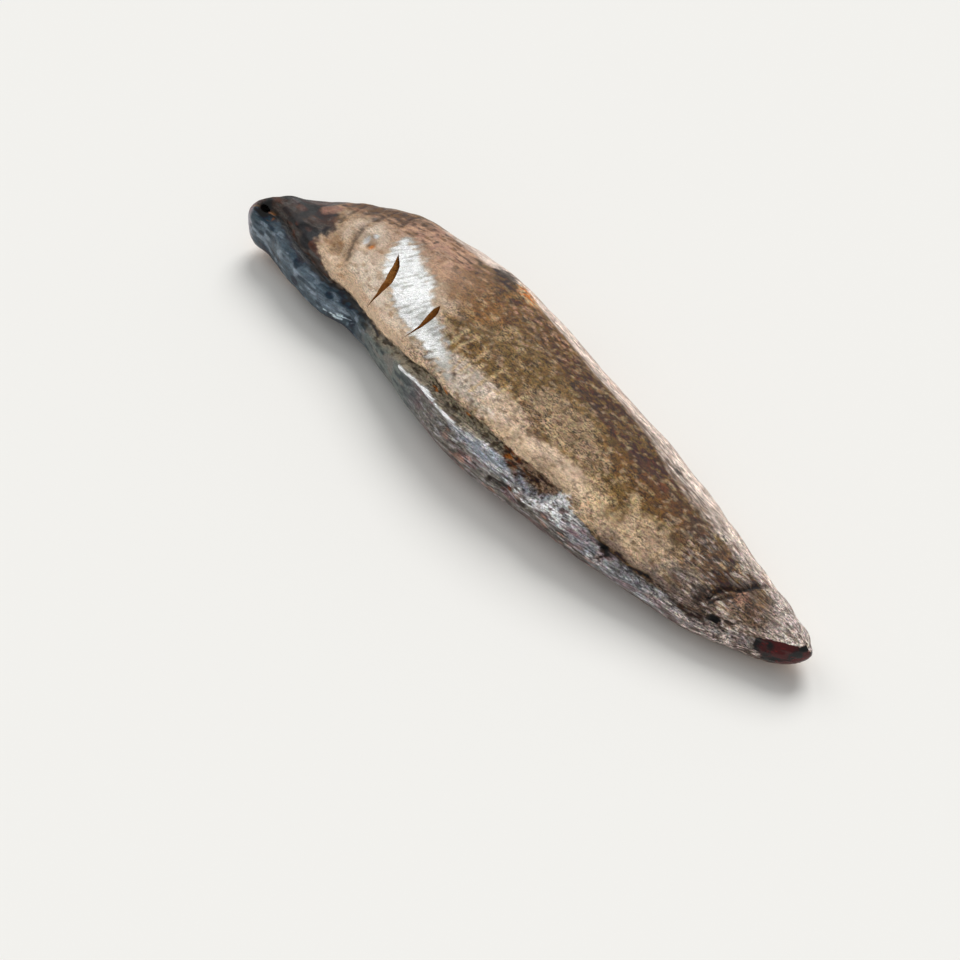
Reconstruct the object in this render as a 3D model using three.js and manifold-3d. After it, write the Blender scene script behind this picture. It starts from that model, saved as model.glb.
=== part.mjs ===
// Smoked fish fillet lying skin side up: a long, tapering piece with a blunt head end,
// a rolled band along the near side and a pointed tail tip. One solid.
// Frame: +X runs from the head end to the tail tip, +Y to the far flank, +Z up, millimetres.
import * as THREE from 'three';
import { mergeVertices } from 'three/addons/utils/BufferGeometryUtils.js';
import Module from 'manifold-3d';

// Overall form
const LENGTH = 206;
const HEAD_ROUNDING = 6;
const TAIL_ROUNDING = 7;
const CORE_HEIGHT = 0.45;
const FAR_FLANK = { size: 33.8, peak: 0.25, head: 0.09, headPower: 1.9, tail: 0.02, tailPower: 1.6 };
const NEAR_FLANK = { size: 20.2, peak: 0.545, head: 0.11, headPower: 1.1, tail: 0.3, tailPower: 3.6 };
const HEIGHT = { size: 28.5, peak: 0.4, head: 0.5, headPower: 2, tail: 0.28, tailPower: 1.9 };
const NEAR_SWELLS = [
  { height: -3, at: 52, reach: 26 },
  { height: 1.6, at: 88, reach: 24 },
  { height: -1.1, at: 11, reach: 9 },
  { height: -0.5, at: 27, reach: 10 },
  { height: -0.8, at: 43, reach: 7 },
  { height: 0.7, at: 61, reach: 9 },
  { height: -0.9, at: 81, reach: 12 },
  { height: -0.9, at: 162, reach: 24 },
  { height: -0.6, at: 190, reach: 16 },
];
const FAR_SWELLS = [
  { height: 0.9, at: 80, reach: 22 },
  { height: -0.6, at: 112, reach: 26 },
  { height: 0.8, at: 32, reach: 11 },
  { height: -0.6, at: 49, reach: 11 },
  { height: 0.6, at: 75, reach: 11 },
  { height: -0.35, at: 120, reach: 22 },
  { height: -0.6, at: 199, reach: 7 },
  { height: 0.35, at: 165, reach: 30 },
];
const HEAD_LIFT = { rise: 4.2, share: 0.2 };
const TAIL_LIFT = { rise: 4.6, share: 0.25 };
const MIDDLE = 0.45;
const BLEND_POWER = 1.5;

// Ribs that run the length of the piece, each as a share of the half width (across) and of
// the height (up), stated at the head, in the middle and at the tail
const RIBS = [
  { name: 'keel_near', across: [-0.5, -0.55, -0.5], up: [-0.03, -0.03, -0.03] },
  { name: 'near_low', across: [-0.88, -0.86, -0.84], up: [0.1, 0.08, 0.1] },
  { name: 'bulge', across: [-1, -1, -1], up: [0.34, 0.3, 0.36] },
  { name: 'lip', across: [-0.9, -0.96, -0.92], up: [0.62, 0.54, 0.62] },
  { name: 'face_low', across: [-0.55, -0.78, -0.62], up: [0.83, 0.76, 0.84] },
  { name: 'face_mid', across: [-0.2, -0.36, -0.26], up: [0.96, 0.94, 0.96] },
  { name: 'crest', across: [0.14, 0.08, 0.06], up: [1, 1, 1] },
  { name: 'shoulder', across: [0.42, 0.4, 0.28], up: [0.95, 0.94, 0.97] },
  { name: 'bevel', across: [0.68, 0.62, 0.46], up: [0.81, 0.86, 0.9] },
  { name: 'rim', across: [0.92, 0.9, 0.86], up: [0.58, 0.58, 0.64] },
  { name: 'far', across: [1, 1, 1], up: [0.34, 0.34, 0.38] },
  { name: 'far_low', across: [0.9, 0.92, 0.9], up: [0.08, 0.08, 0.08] },
  { name: 'keel_far', across: [0.55, 0.62, 0.6], up: [-0.03, -0.03, -0.03] },
];

// Facets between one rib and the next, in the order of the ribs, and along the length
const FACETS_PER_RIB = [3, 4, 5, 8, 7, 5, 4, 4, 4, 3, 3, 3, 8];
const STATION_STEP = 2.5;
const END_STATIONS = [0.12, 0.5, 1.1, 1.9];

// The seam between the near band and the broad skin face, as x and place between the ribs
const SEAM = [
  [0, 4.4], [14, 3.95], [24, 3.52], [45, 3.05], [54, 3], [71, 3.42], [82, 3.58], [112, 3.78],
  [129, 3.86], [141, 3.58], [150, 3.24], [172, 3.08], [206, 3.4],
];
// Long grooves and ridges; a ridge is a groove with a negative depth
const LINES = [
  { line: SEAM, offset: 0.3, width: 1.9, depth: 1.5, from: 3, to: 74, fade: 9 },
  { line: SEAM, offset: 0.4, width: 1.5, depth: 1.3, from: 66, to: 118, fade: 7 },
  { line: SEAM, offset: 0, width: 1.8, depth: 0.9, from: 134, to: 200, fade: 9 },
  { line: SEAM, offset: -1.6, width: 1.3, depth: -0.7, from: 68, to: 138, fade: 6 },
  { line: SEAM, offset: -6.5, width: 4.2, depth: -0.5, from: 4, to: 46, fade: 5 },
  { line: SEAM, offset: 4.2, width: 3, depth: -0.45, from: 60, to: 200, fade: 12 },
  { line: [[60, 7.9], [206, 7.9]], offset: 0, width: 2.2, depth: -0.4, from: 70, to: 205, fade: 20 },
];
// Hollows and bumps, each an ellipse on the surface; a bump has a negative depth
const SPOTS = [
  { name: 'pit', x: 125, rib: 3.66, along: 14, across: 4.6, depth: 3.6 },
  { name: 'pit_ledge', x: 139, rib: 3.42, along: 9, across: 4.5, depth: 1.1 },
  { name: 'notch', x: 48, rib: 2.25, along: 5, across: 4.5, depth: 1.3 },
  { name: 'dimple', x: 40, rib: 5.08, along: 3.6, across: 3.2, depth: 1 },
  { name: 'dent', x: 35, rib: 4.3, along: 5, across: 3.4, depth: 0.8 },
  { name: 'band_slot', x: 118, rib: 2.4, along: 6, across: 2.2, depth: 0.9 },
  { name: 'far_dent', x: 76, rib: 8.8, along: 12, across: 3.2, depth: 0.5 },
  { name: 'tail_crease', x: 181.5, rib: 5.2, along: 5, across: 8, depth: 0.6 },
  { name: 'tail_hole', x: 183.5, rib: 3.2, along: 4, across: 2.2, depth: 0.8 },
  { name: 'head_rim', x: 3, rib: 4, along: 3, across: 5, depth: -0.3 },
  { name: 'head_hollow', x: 2, rib: 7, along: 6, across: 8, depth: 0.5 },
  { name: 'head_slope', x: 15, rib: 6.5, along: 15, across: 10, depth: 0.9 },
  { name: 'head_knob', x: 10, rib: 6.5, along: 3.5, across: 4, depth: -0.6 },
  { name: 'cleft', x: 102, rib: 12.42, along: 74, across: 6.5, depth: 2.6 },
];
// Low waves of the cured flesh: length of a wave along and across the piece, and its height
const WAVES = [
  { along: 61, across: 23, phase: 0.4, height: 0.28 },
  { along: -37, across: 14, phase: 2.1, height: 0.13 },
  { along: 19, across: 47, phase: 4.4, height: 0.05 },
];

// Two cuts across the skin, each from its far end to its near end as x and place between ribs;
// a lean below 1 brings the widest point nearer to the far end
const SLITS = [
  { path: [[49.6, 5.36], [52.4, 4.98], [54.3, 4.52], [53.9, 4.05], [51.9, 3.2]], width: 2.5, depth: 3.6, lean: 0.8 },
  { path: [[72.3, 5.12], [72.4, 4.84], [71.5, 4.45], [69, 3.76]], width: 2.2, depth: 3.2, lean: 0.6 },
];
const SLIT_STEPS = 10;
const SLIT_STANDING = 1.2;
const SLIT_TAPER = 1.6;

// The small round hole behind the rolled rim of the head end
const HEAD_HOLE = { x: 6.2, rib: 4.3, along: 1.5, across: 1, depth: 3 };
const HOLE_SIDES = 12;
const HOLE_RINGS = 8;

const SKIN = { color: 0x7b6650, roughness: 0.55, metalness: 0 };

const clamp = (value, low, high) => Math.min(Math.max(value, low), high);

// 1 at the peak, and the stated shares at the head and at the tail
function profile(t, form) {
  const before = clamp(1 - t / form.peak, 0, 1) ** form.headPower;
  const after = clamp((t - form.peak) / (1 - form.peak), 0, 1) ** form.tailPower;
  return form.size * (1 - (1 - form.head) * before - (1 - form.tail) * after);
}

// 1 in the centre, falling smoothly to 0 at a distance of 1
function bell(distance) {
  const u = clamp(Math.abs(distance), 0, 1);
  return (1 - u * u) ** 2;
}

// Sum of the local swells and hollows of a flank at x
function swelling(x, swells) {
  return swells.reduce((sum, swell) => sum + swell.height * bell((x - swell.at) / swell.reach), 0);
}

// Smooth curve through points of x and value, level beyond both ends
function along(points, x) {
  const last = points.length - 1;
  if (x <= points[0][0]) return points[0][1];
  if (x >= points[last][0]) return points[last][1];
  let k = 0;
  while (x > points[k + 1][0]) k += 1;
  const slope = (i) => {
    const a = points[Math.max(i - 1, 0)];
    const b = points[Math.min(i + 1, last)];
    return (b[1] - a[1]) / (b[0] - a[0]);
  };
  const [x0, y0] = points[k];
  const [x1, y1] = points[k + 1];
  const span = x1 - x0;
  const u = (x - x0) / span;
  const rise = u * u * (3 - 2 * u);
  const leave = u * (1 - u) * (1 - u);
  const arrive = u * u * (u - 1);
  return y0 + (y1 - y0) * rise + span * (slope(k) * leave + slope(k + 1) * arrive);
}

// Half-ellipse rounding of both ends: the share of the section's size at x
function rounding(x) {
  const head = clamp(1 - x / HEAD_ROUNDING, 0, 1);
  const tail = clamp(1 - (LENGTH - x) / TAIL_ROUNDING, 0, 1);
  return Math.sqrt(1 - head * head) * Math.sqrt(1 - tail * tail);
}

// The rib points of the section at x, as pairs of y and z
function sectionAt(x) {
  const t = x / LENGTH;
  const far = profile(t, FAR_FLANK) + swelling(x, FAR_SWELLS);
  const near = profile(t, NEAR_FLANK) + swelling(x, NEAR_SWELLS);
  const height = profile(t, HEIGHT);
  const headLift = HEAD_LIFT.rise * clamp(1 - t / HEAD_LIFT.share, 0, 1) ** 2;
  const tailLift = TAIL_LIFT.rise * clamp(1 - (1 - t) / TAIL_LIFT.share, 0, 1) ** 2;
  const toHead = clamp(1 - t / MIDDLE, 0, 1) ** BLEND_POWER;
  const toTail = clamp((t - MIDDLE) / (1 - MIDDLE), 0, 1) ** BLEND_POWER;
  const blend = ([head, middle, tail]) => middle + (head - middle) * toHead + (tail - middle) * toTail;
  const centre = (far - near) / 2;
  const half = (far + near) / 2;
  const core = CORE_HEIGHT * height;
  const size = rounding(x);
  return RIBS.map((rib) => [
    centre + half * blend(rib.across) * size,
    headLift + tailLift + core + (height * blend(rib.up) - core) * size,
  ]);
}

// A point of the closed smooth curve through the rib points
function onSection(ribs, v) {
  const count = ribs.length;
  const k = Math.floor(v);
  const f = v - k;
  const at = (step) => ribs[(((k + step) % count) + count) % count];
  const [a, b, c, d] = [at(-1), at(0), at(1), at(2)];
  return [0, 1].map((n) => {
    const straight = 2 * b[n] + (c[n] - a[n]) * f;
    const square = (2 * a[n] - 5 * b[n] + 4 * c[n] - d[n]) * f * f;
    const cube = (3 * b[n] - a[n] - 3 * c[n] + d[n]) * f * f * f;
    return (straight + square + cube) / 2;
  });
}

const ARC_PARTS = 10;

// Distance along the section from the first rib, as a function of the place between ribs
function arcOf(ribs) {
  const steps = ribs.length * ARC_PARTS;
  const lengths = [0];
  let before = onSection(ribs, 0);
  for (let k = 1; k <= steps; k += 1) {
    const here = onSection(ribs, k / ARC_PARTS);
    lengths.push(lengths[k - 1] + Math.hypot(here[0] - before[0], here[1] - before[1]));
    before = here;
  }
  return (v) => {
    const place = clamp(v, 0, ribs.length) * ARC_PARTS;
    const k = Math.min(Math.floor(place), steps - 1);
    return lengths[k] + (lengths[k + 1] - lengths[k]) * (place - k);
  };
}

// How far the surface stands out of the smooth body at x and place v
function relief(x, v, arc) {
  const s = arc(v);
  let out = 0;
  for (const groove of LINES) {
    const start = clamp((x - groove.from) / groove.fade, 0, 1);
    const finish = clamp((groove.to - x) / groove.fade, 0, 1);
    const centre = arc(along(groove.line, x)) + groove.offset;
    out -= groove.depth * start * finish * bell((s - centre) / groove.width / 2);
  }
  for (const spot of SPOTS) {
    const dx = (x - spot.x) / spot.along;
    const ds = (s - arc(spot.rib)) / spot.across;
    out -= spot.depth * bell(Math.hypot(dx, ds));
  }
  for (const wave of WAVES) {
    out += wave.height * Math.sin(2 * Math.PI * (x / wave.along + s / wave.across) + wave.phase);
  }
  return out * rounding(x);
}

// Outward direction of the smooth body at x and place v
function outward(x, v) {
  const step = 0.05;
  const xa = Math.max(x - step, 0);
  const xb = Math.min(x + step, LENGTH);
  const lengthwise = new THREE.Vector3(xb, ...onSection(sectionAt(xb), v));
  lengthwise.sub(new THREE.Vector3(xa, ...onSection(sectionAt(xa), v)));
  const ribs = sectionAt(x);
  const crosswise = new THREE.Vector3(0, ...onSection(ribs, v + step));
  crosswise.sub(new THREE.Vector3(0, ...onSection(ribs, v - step)));
  return lengthwise.cross(crosswise).normalize();
}

function surfacePoint(x, v, ribs = sectionAt(x), arc = arcOf(ribs)) {
  const point = new THREE.Vector3(x, ...onSection(ribs, v));
  return point.addScaledVector(outward(x, v), relief(x, v, arc));
}

// Closed skin over rings of points, with one point closing each end
function closedSkin(rings, first, last) {
  const sides = rings[0].length;
  const points = [first, ...rings.flat(), last];
  const place = (ring, k) => 1 + ring * sides + (k % sides);
  const faces = [];
  for (let k = 0; k < sides; k += 1) {
    faces.push(0, place(0, k), place(0, k + 1));
    faces.push(points.length - 1, place(rings.length - 1, k + 1), place(rings.length - 1, k));
    for (let ring = 0; ring < rings.length - 1; ring += 1) {
      const [a, b] = [place(ring, k), place(ring, k + 1)];
      const [c, d] = [place(ring + 1, k), place(ring + 1, k + 1)];
      faces.push(a, d, b, a, c, d);
    }
  }
  const geometry = new THREE.BufferGeometry();
  geometry.setAttribute('position', new THREE.Float32BufferAttribute(points.flatMap((p) => p.toArray()), 3));
  geometry.setIndex(faces);
  return geometry;
}

function bodyGeometry() {
  const inner = END_STATIONS[END_STATIONS.length - 1] + 1;
  const count = Math.round((LENGTH - 2 * inner) / STATION_STEP);
  const middle = Array.from({ length: count + 1 }, (_, k) => inner + (k / count) * (LENGTH - 2 * inner));
  const tailward = END_STATIONS.map((gap) => LENGTH - gap).reverse();
  const stations = [...END_STATIONS, ...middle, ...tailward];
  const places = FACETS_PER_RIB.flatMap((parts, rib) => Array.from({ length: parts }, (_, k) => rib + k / parts));
  const rings = stations.map((x) => {
    const ribs = sectionAt(x);
    const arc = arcOf(ribs);
    return places.map((v) => surfacePoint(x, v, ribs, arc));
  });
  const tip = (x) => new THREE.Vector3(x, ...onSection(sectionAt(x), 0));
  return closedSkin(rings, tip(0), tip(LENGTH));
}

// A wedge that follows the path of a slit: as wide as the slit at the skin, sharp at its depth
function slitGeometry(slit) {
  const legs = slit.path.length - 1;
  const at = (u) => {
    const k = Math.min(Math.floor(u * legs), legs - 1);
    const f = u * legs - k;
    const [a, b] = [slit.path[k], slit.path[k + 1]];
    return [a[0] + (b[0] - a[0]) * f, a[1] + (b[1] - a[1]) * f];
  };
  const frameAt = (u) => {
    const [x, v] = at(u);
    const ahead = surfacePoint(...at(Math.min(u + 0.02, 1)));
    const behind = surfacePoint(...at(Math.max(u - 0.02, 0)));
    const up = outward(x, v);
    const side = up.clone().cross(ahead.sub(behind)).normalize();
    return { centre: surfacePoint(x, v), up, side };
  };
  const rings = [];
  for (let k = 1; k < SLIT_STEPS; k += 1) {
    const u = k / SLIT_STEPS;
    const { centre, up, side } = frameAt(u);
    const share = Math.sin(Math.PI * u ** slit.lean) ** SLIT_TAPER;
    const half = (slit.width / 2) * share * (1 + SLIT_STANDING / slit.depth);
    const crown = centre.clone().addScaledVector(up, SLIT_STANDING);
    rings.push([
      crown.clone().addScaledVector(side, -half),
      crown.clone().addScaledVector(side, half),
      centre.clone().addScaledVector(up, -slit.depth * Math.sqrt(share)),
    ]);
  }
  const ends = [0, 1].map((u) => {
    const { centre, up } = frameAt(u);
    return centre.addScaledVector(up, SLIT_STANDING / 2);
  });
  return closedSkin(rings, ends[0], ends[1]);
}

function holeGeometry(hole) {
  const up = outward(hole.x, hole.rib);
  const geometry = new THREE.SphereGeometry(1, HOLE_SIDES, HOLE_RINGS);
  geometry.scale(hole.along, hole.depth, hole.across);
  const turn = new THREE.Quaternion().setFromUnitVectors(new THREE.Vector3(0, 1, 0), up);
  geometry.applyQuaternion(turn);
  const centre = surfacePoint(hole.x, hole.rib);
  geometry.translate(centre.x, centre.y, centre.z);
  return geometry;
}

const wasm = await Module();
wasm.setup();

function solid(geometry) {
  geometry.deleteAttribute('normal');
  geometry.deleteAttribute('uv');
  const merged = mergeVertices(geometry);
  const vertProperties = new Float32Array(merged.attributes.position.array);
  const triVerts = new Uint32Array(merged.index.array);
  return new wasm.Manifold(new wasm.Mesh({ numProp: 3, vertProperties, triVerts }));
}

// The ground plane takes off what is below it, which leaves the flat face the piece rests on
function aboveGround() {
  const reach = 2 * LENGTH;
  const box = new THREE.BoxGeometry(reach, reach, reach);
  box.translate(LENGTH / 2, 0, reach / 2);
  return solid(box);
}

let fillet = solid(bodyGeometry()).intersect(aboveGround());
for (const slit of SLITS) fillet = fillet.subtract(solid(slitGeometry(slit)));
fillet = fillet.subtract(solid(holeGeometry(HEAD_HOLE)));

const result = fillet.getMesh();
const geometry = new THREE.BufferGeometry();
geometry.setAttribute('position', new THREE.Float32BufferAttribute(result.vertProperties, 3));
geometry.setIndex(Array.from(result.triVerts));
geometry.computeBoundingBox();
const box = geometry.boundingBox;
geometry.translate(-(box.min.x + box.max.x) / 2, -(box.min.y + box.max.y) / 2, -box.min.z);

const material = new THREE.MeshStandardMaterial(SKIN);
const mesh = new THREE.Mesh(geometry, material);
mesh.name = 'fillet';
const part = new THREE.Group();
part.add(mesh);

export default part;
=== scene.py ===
"""A smoked fish fillet lying skin side up on a pale floor, with its skin, flesh and glassy tail tip."""

import math

import bpy
import numpy as np
from mathutils import Matrix, Vector
from mathutils.kdtree import KDTree


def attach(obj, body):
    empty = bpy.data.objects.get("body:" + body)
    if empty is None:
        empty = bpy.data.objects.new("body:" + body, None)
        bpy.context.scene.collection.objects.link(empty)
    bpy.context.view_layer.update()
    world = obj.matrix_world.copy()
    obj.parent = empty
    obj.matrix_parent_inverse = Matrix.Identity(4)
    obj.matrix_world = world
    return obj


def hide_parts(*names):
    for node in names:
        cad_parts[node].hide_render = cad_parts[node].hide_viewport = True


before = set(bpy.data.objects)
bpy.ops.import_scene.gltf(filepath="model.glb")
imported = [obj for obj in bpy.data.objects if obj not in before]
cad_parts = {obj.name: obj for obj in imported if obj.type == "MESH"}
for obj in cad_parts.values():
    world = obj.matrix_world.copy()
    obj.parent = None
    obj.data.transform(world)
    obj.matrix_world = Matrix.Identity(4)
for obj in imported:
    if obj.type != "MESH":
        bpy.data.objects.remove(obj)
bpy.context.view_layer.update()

MM = 0.001

# Overall form, in millimetres, as the frame's solid has it
LENGTH = 206.0
HEAD_ROUNDING = 6.0
TAIL_ROUNDING = 7.0
CORE_HEIGHT = 0.45
FAR_FLANK = dict(size=33.8, peak=0.25, head=0.09, head_power=1.9, tail=0.02, tail_power=1.6)
NEAR_FLANK = dict(size=20.2, peak=0.545, head=0.11, head_power=1.1, tail=0.3, tail_power=3.6)
HEIGHT = dict(size=28.5, peak=0.4, head=0.5, head_power=2.0, tail=0.28, tail_power=1.9)
# Swells of the two flanks: height, x of the middle, reach
NEAR_SWELLS = [
    (-3, 52, 26), (1.6, 88, 24), (-1.1, 11, 9), (-0.5, 27, 10), (-0.8, 43, 7), (0.7, 61, 9), (-0.9, 81, 12),
    (-0.9, 162, 24), (-0.6, 190, 16),
]
FAR_SWELLS = [
    (0.9, 80, 22), (-0.6, 112, 26), (0.8, 32, 11), (-0.6, 49, 11), (0.6, 75, 11), (-0.35, 120, 22),
    (0.35, 165, 30), (-0.6, 199, 7),
]
# How far the ends' undersides rise off the floor, over what share of the length
HEAD_LIFT = dict(rise=4.2, share=0.2)
TAIL_LIFT = dict(rise=4.6, share=0.25)
# Where the middle section stands along the length, and how its form passes into the ends'
MIDDLE = 0.45
BLEND_POWER = 1.5

# Ribs along the piece: share of the half width and of the height, at head, middle and tail,
# and how many faces the fine surface has between this rib and the next
RIBS = {
    "keel_near": ((-0.5, -0.55, -0.5), (-0.03, -0.03, -0.03), 7),
    "near_low": ((-0.88, -0.86, -0.84), (0.1, 0.08, 0.1), 13),
    "bulge": ((-1.0, -1.0, -1.0), (0.34, 0.3, 0.36), 22),
    "lip": ((-0.9, -0.96, -0.92), (0.62, 0.54, 0.62), 28),
    "face_low": ((-0.55, -0.78, -0.62), (0.83, 0.76, 0.84), 26),
    "face_mid": ((-0.2, -0.36, -0.26), (0.96, 0.94, 0.96), 21),
    "crest": ((0.14, 0.08, 0.06), (1.0, 1.0, 1.0), 16),
    "shoulder": ((0.42, 0.4, 0.28), (0.95, 0.94, 0.97), 14),
    "bevel": ((0.68, 0.62, 0.46), (0.81, 0.86, 0.9), 13),
    "rim": ((0.92, 0.9, 0.86), (0.58, 0.58, 0.64), 9),
    "far": ((1.0, 1.0, 1.0), (0.34, 0.34, 0.38), 7),
    "far_low": ((0.9, 0.92, 0.9), (0.08, 0.08, 0.08), 5),
    "keel_far": ((0.55, 0.62, 0.6), (-0.03, -0.03, -0.03), 15),
}
RIB_COUNT = len(RIBS)
# Gap between rings along the body and at the ends, and how far the closer rings reach
STATION_STEP = 0.46
END_STEP = 0.07
END_REACH = 5.0

# The seam between the near band and the broad skin face, as x and place between the ribs
SEAM = [
    (0, 4.4), (14, 3.95), (24, 3.52), (45, 3.05), (54, 3.0), (71, 3.42), (82, 3.58), (112, 3.78),
    (129, 3.86), (141, 3.58), (150, 3.24), (172, 3.08), (206, 3.4),
]
BEVEL_LINE = [
    (60, 8.5), (100, 8.15), (130, 8.0), (142, 7.7), (152, 7.25), (170, 7.1), (187, 6.9), (206, 6.6),
]
# Creases and edges drawn over the skin, as x and place
TAIL_CREASE = [(179.4, 4.25), (180.3, 4.7), (181.9, 5.1), (184.2, 5.5), (185.9, 6.5), (186.9, 7.05)]
TAIL_WRINKLES = [
    [(178.6, 3.75), (179.6, 4.3)], [(179.8, 3.85), (181.2, 4.35)], [(181.6, 4.35), (183.4, 4.9)],
]
HEAD_CREASES = [
    [(27.5, 7.4), (28.6, 6.2), (28.2, 5.4)],
    [(31.5, 8.0), (32.2, 6.8), (31.6, 6.2)],
    [(35.5, 7.6), (35.8, 6.4), (35.2, 5.6), (36.6, 4.9), (38.2, 4.25)],
    [(42, 8.2), (41, 7.2), (42.5, 6.4)],
]
LIP_EDGES = [
    [(73.5, 3.24), (79.5, 3.33)], [(79.5, 3.33), (84, 3.38), (88.6, 3.42)],
    [(89.6, 3.4), (95, 3.4), (99.6, 3.38)], [(100.6, 3.36), (104.5, 3.36)],
]
LEDGE_EDGE = [(120.5, 2.85), (124, 2.78), (128, 2.85), (131.5, 3.1)]
BAND_SLOT = [(112.5, 2.45), (116, 2.55), (119, 2.7), (121.5, 2.8)]
TAIL_SEAMS = [
    [(143.5, 3.5), (147, 3.42), (150, 3.2)], [(149.5, 3.3), (151.5, 3.0), (149.6, 2.62)],
    [(150, 3.2), (154, 3.32), (158.5, 3.14), (163, 3.3)], [(163.5, 3.22), (168, 3.26), (172, 3.14)],
    [(174, 3.06), (180, 3.02)],
]
# Upper and lower edge of the dark hollow above the lip, and of the leaf-shaped pit
HOLLOW_TOP = [(66, 3.35), (74, 3.6), (80, 3.85), (90, 4.0), (116, 4.02)]
HOLLOW_FOOT = [(66, 3.2), (74, 3.3), (80, 3.38), (90, 3.45), (100, 3.45), (110, 3.6), (118, 3.75)]
PIT_TOP = [(113, 3.98), (133, 3.98)]
PIT_FOOT = [(113, 3.88), (117, 3.4), (122, 3.02), (127, 2.94), (131, 3.3), (134, 3.9)]

# Long grooves and ridges of the solid: line, offset, half width, depth, from, to, fade
LINES = [
    (SEAM, 0.3, 1.9, 1.5, 3, 74, 9),
    (SEAM, 0.4, 1.5, 1.3, 66, 118, 7),
    (SEAM, 0.0, 1.8, 0.9, 134, 200, 9),
    (SEAM, -1.6, 1.3, -0.7, 68, 138, 6),
    (SEAM, -6.5, 4.2, -0.5, 4, 46, 5),
    (SEAM, 4.2, 3.0, -0.45, 60, 200, 12),
    ([(60, 7.9), (206, 7.9)], 0.0, 2.2, -0.4, 70, 205, 20),
]
# Hollows and bumps of the solid: x, place between ribs, reach along, reach across, depth
SPOTS = {
    "pit": (125, 3.66, 14, 4.6, 3.6),
    "pit_ledge": (139, 3.42, 9, 4.5, 1.1),
    "notch": (48, 2.25, 5, 4.5, 1.3),
    "dimple": (40, 5.08, 3.6, 3.2, 1.0),
    "dent": (35, 4.3, 5, 3.4, 0.8),
    "band_slot": (118, 2.4, 6, 2.2, 0.9),
    "far_dent": (76, 8.8, 12, 3.2, 0.5),
    "tail_crease": (181.5, 5.2, 5, 8, 0.6),
    "tail_hole": (183.5, 3.2, 4, 2.2, 0.8),
    "head_rim": (3, 4.0, 3, 5, -0.3),
    "head_hollow": (2, 7.0, 6, 8, 0.5),
    "head_slope": (15, 6.5, 15, 10, 0.9),
    "head_knob": (10, 6.5, 3.5, 4, -0.6),
    "cleft": (102, 12.42, 74, 6.5, 2.6),
}
# Low waves of the cured flesh: length along and across, phase and height
WAVES = [(61, 23, 0.4, 0.28), (-37, 14, 2.1, 0.13), (19, 47, 4.4, 0.05)]
# Places between the ribs where the flat underside begins, from its far edge and from its near edge
UNDER_FAR = (11.6, 12.1)
UNDER_NEAR = (1.0, 0.6)

# What the fine surface adds. Lines: paths, depth, how ragged, half width
FINE_LINES = [
    (TAIL_SEAMS, 0.45, 1.0, 1.0),
    (LIP_EDGES, -0.35, 0.0, 0.8),
    ([LEDGE_EDGE], -0.3, 0.0, 1.0),
    ([BAND_SLOT], 0.5, 0.0, 1.0),
    (HEAD_CREASES, 0.3, 1.0, 1.3),
    ([TAIL_CREASE], 0.7, 0.6, 1.2),
    (TAIL_WRINKLES, 0.35, 0.6, 0.9),
]
# Lumps: region, height, length, width, seed
FINE_LUMPS = [
    ("pit", 0.4, 1.6, 0.9, 11), ("pit", 0.25, 0.9, 0.7, 12),
    ("rear", 0.08, 3.4, 1.4, 13), ("rear", 0.06, 1.4, 0.9, 14),
    ("band", 0.14, 8, 2.2, 15), ("band", 0.05, 3, 0.9, 23),
    ("head", 0.2, 4.5, 3.2, 16), ("head", 0.08, 1.8, 1.4, 17),
    ("tail", 0.14, 7, 1.5, 18), ("tail", 0.06, 1.6, 1, 24),
    ("under", 0.25, 16, 1.6, 19), ("under", 0.12, 5, 0.9, 20),
]
# Hollows: x, place, reach along and across, depth
FINE_SPOTS = [(49, 2.0, 3.5, 4, 0.6), (183.3, 3.25, 1.5, 1.2, 0.5)]


def clamp(value, low=0.0, high=1.0):
    """The value, held between two limits."""
    return np.minimum(np.maximum(value, low), high)


def profile(t, size, peak, head, head_power, tail, tail_power):
    """The size at its peak, falling to its stated shares at the head and at the tail."""
    before = clamp(1 - t / peak) ** head_power
    after = clamp((t - peak) / (1 - peak)) ** tail_power
    return size * (1 - (1 - head) * before - (1 - tail) * after)


def bell(distance):
    """1 in the centre, falling smoothly to 0 at a distance of 1."""
    u = clamp(np.abs(distance))
    return (1 - u * u) ** 2


def step(value, start, end):
    """A smooth rise from 0 at start to 1 at end, or a fall where end is below start."""
    u = clamp((value - start) / (end - start))
    return u * u * (3 - 2 * u)


def along(points, x):
    """Smooth curve through points of x and value, level beyond both ends."""
    px, py = np.array(points, float).T
    slope = np.empty_like(py)
    slope[1:-1] = (py[2:] - py[:-2]) / (px[2:] - px[:-2])
    slope[0] = (py[1] - py[0]) / (px[1] - px[0])
    slope[-1] = (py[-1] - py[-2]) / (px[-1] - px[-2])
    x = clamp(x, px[0], px[-1])
    k = np.clip(np.searchsorted(px, x, side="right") - 1, 0, len(px) - 2)
    span = px[k + 1] - px[k]
    u = (x - px[k]) / span
    rise = u * u * (3 - 2 * u)
    leave = u * (1 - u) ** 2
    arrive = u * u * (u - 1)
    return py[k] + (py[k + 1] - py[k]) * rise + span * (slope[k] * leave + slope[k + 1] * arrive)


def rounding(x):
    """Half-ellipse rounding of both ends: the share of the section's size at x."""
    head = clamp(1 - x / HEAD_ROUNDING)
    tail = clamp(1 - (LENGTH - x) / TAIL_ROUNDING)
    return np.sqrt(1 - head * head) * np.sqrt(1 - tail * tail)


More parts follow.
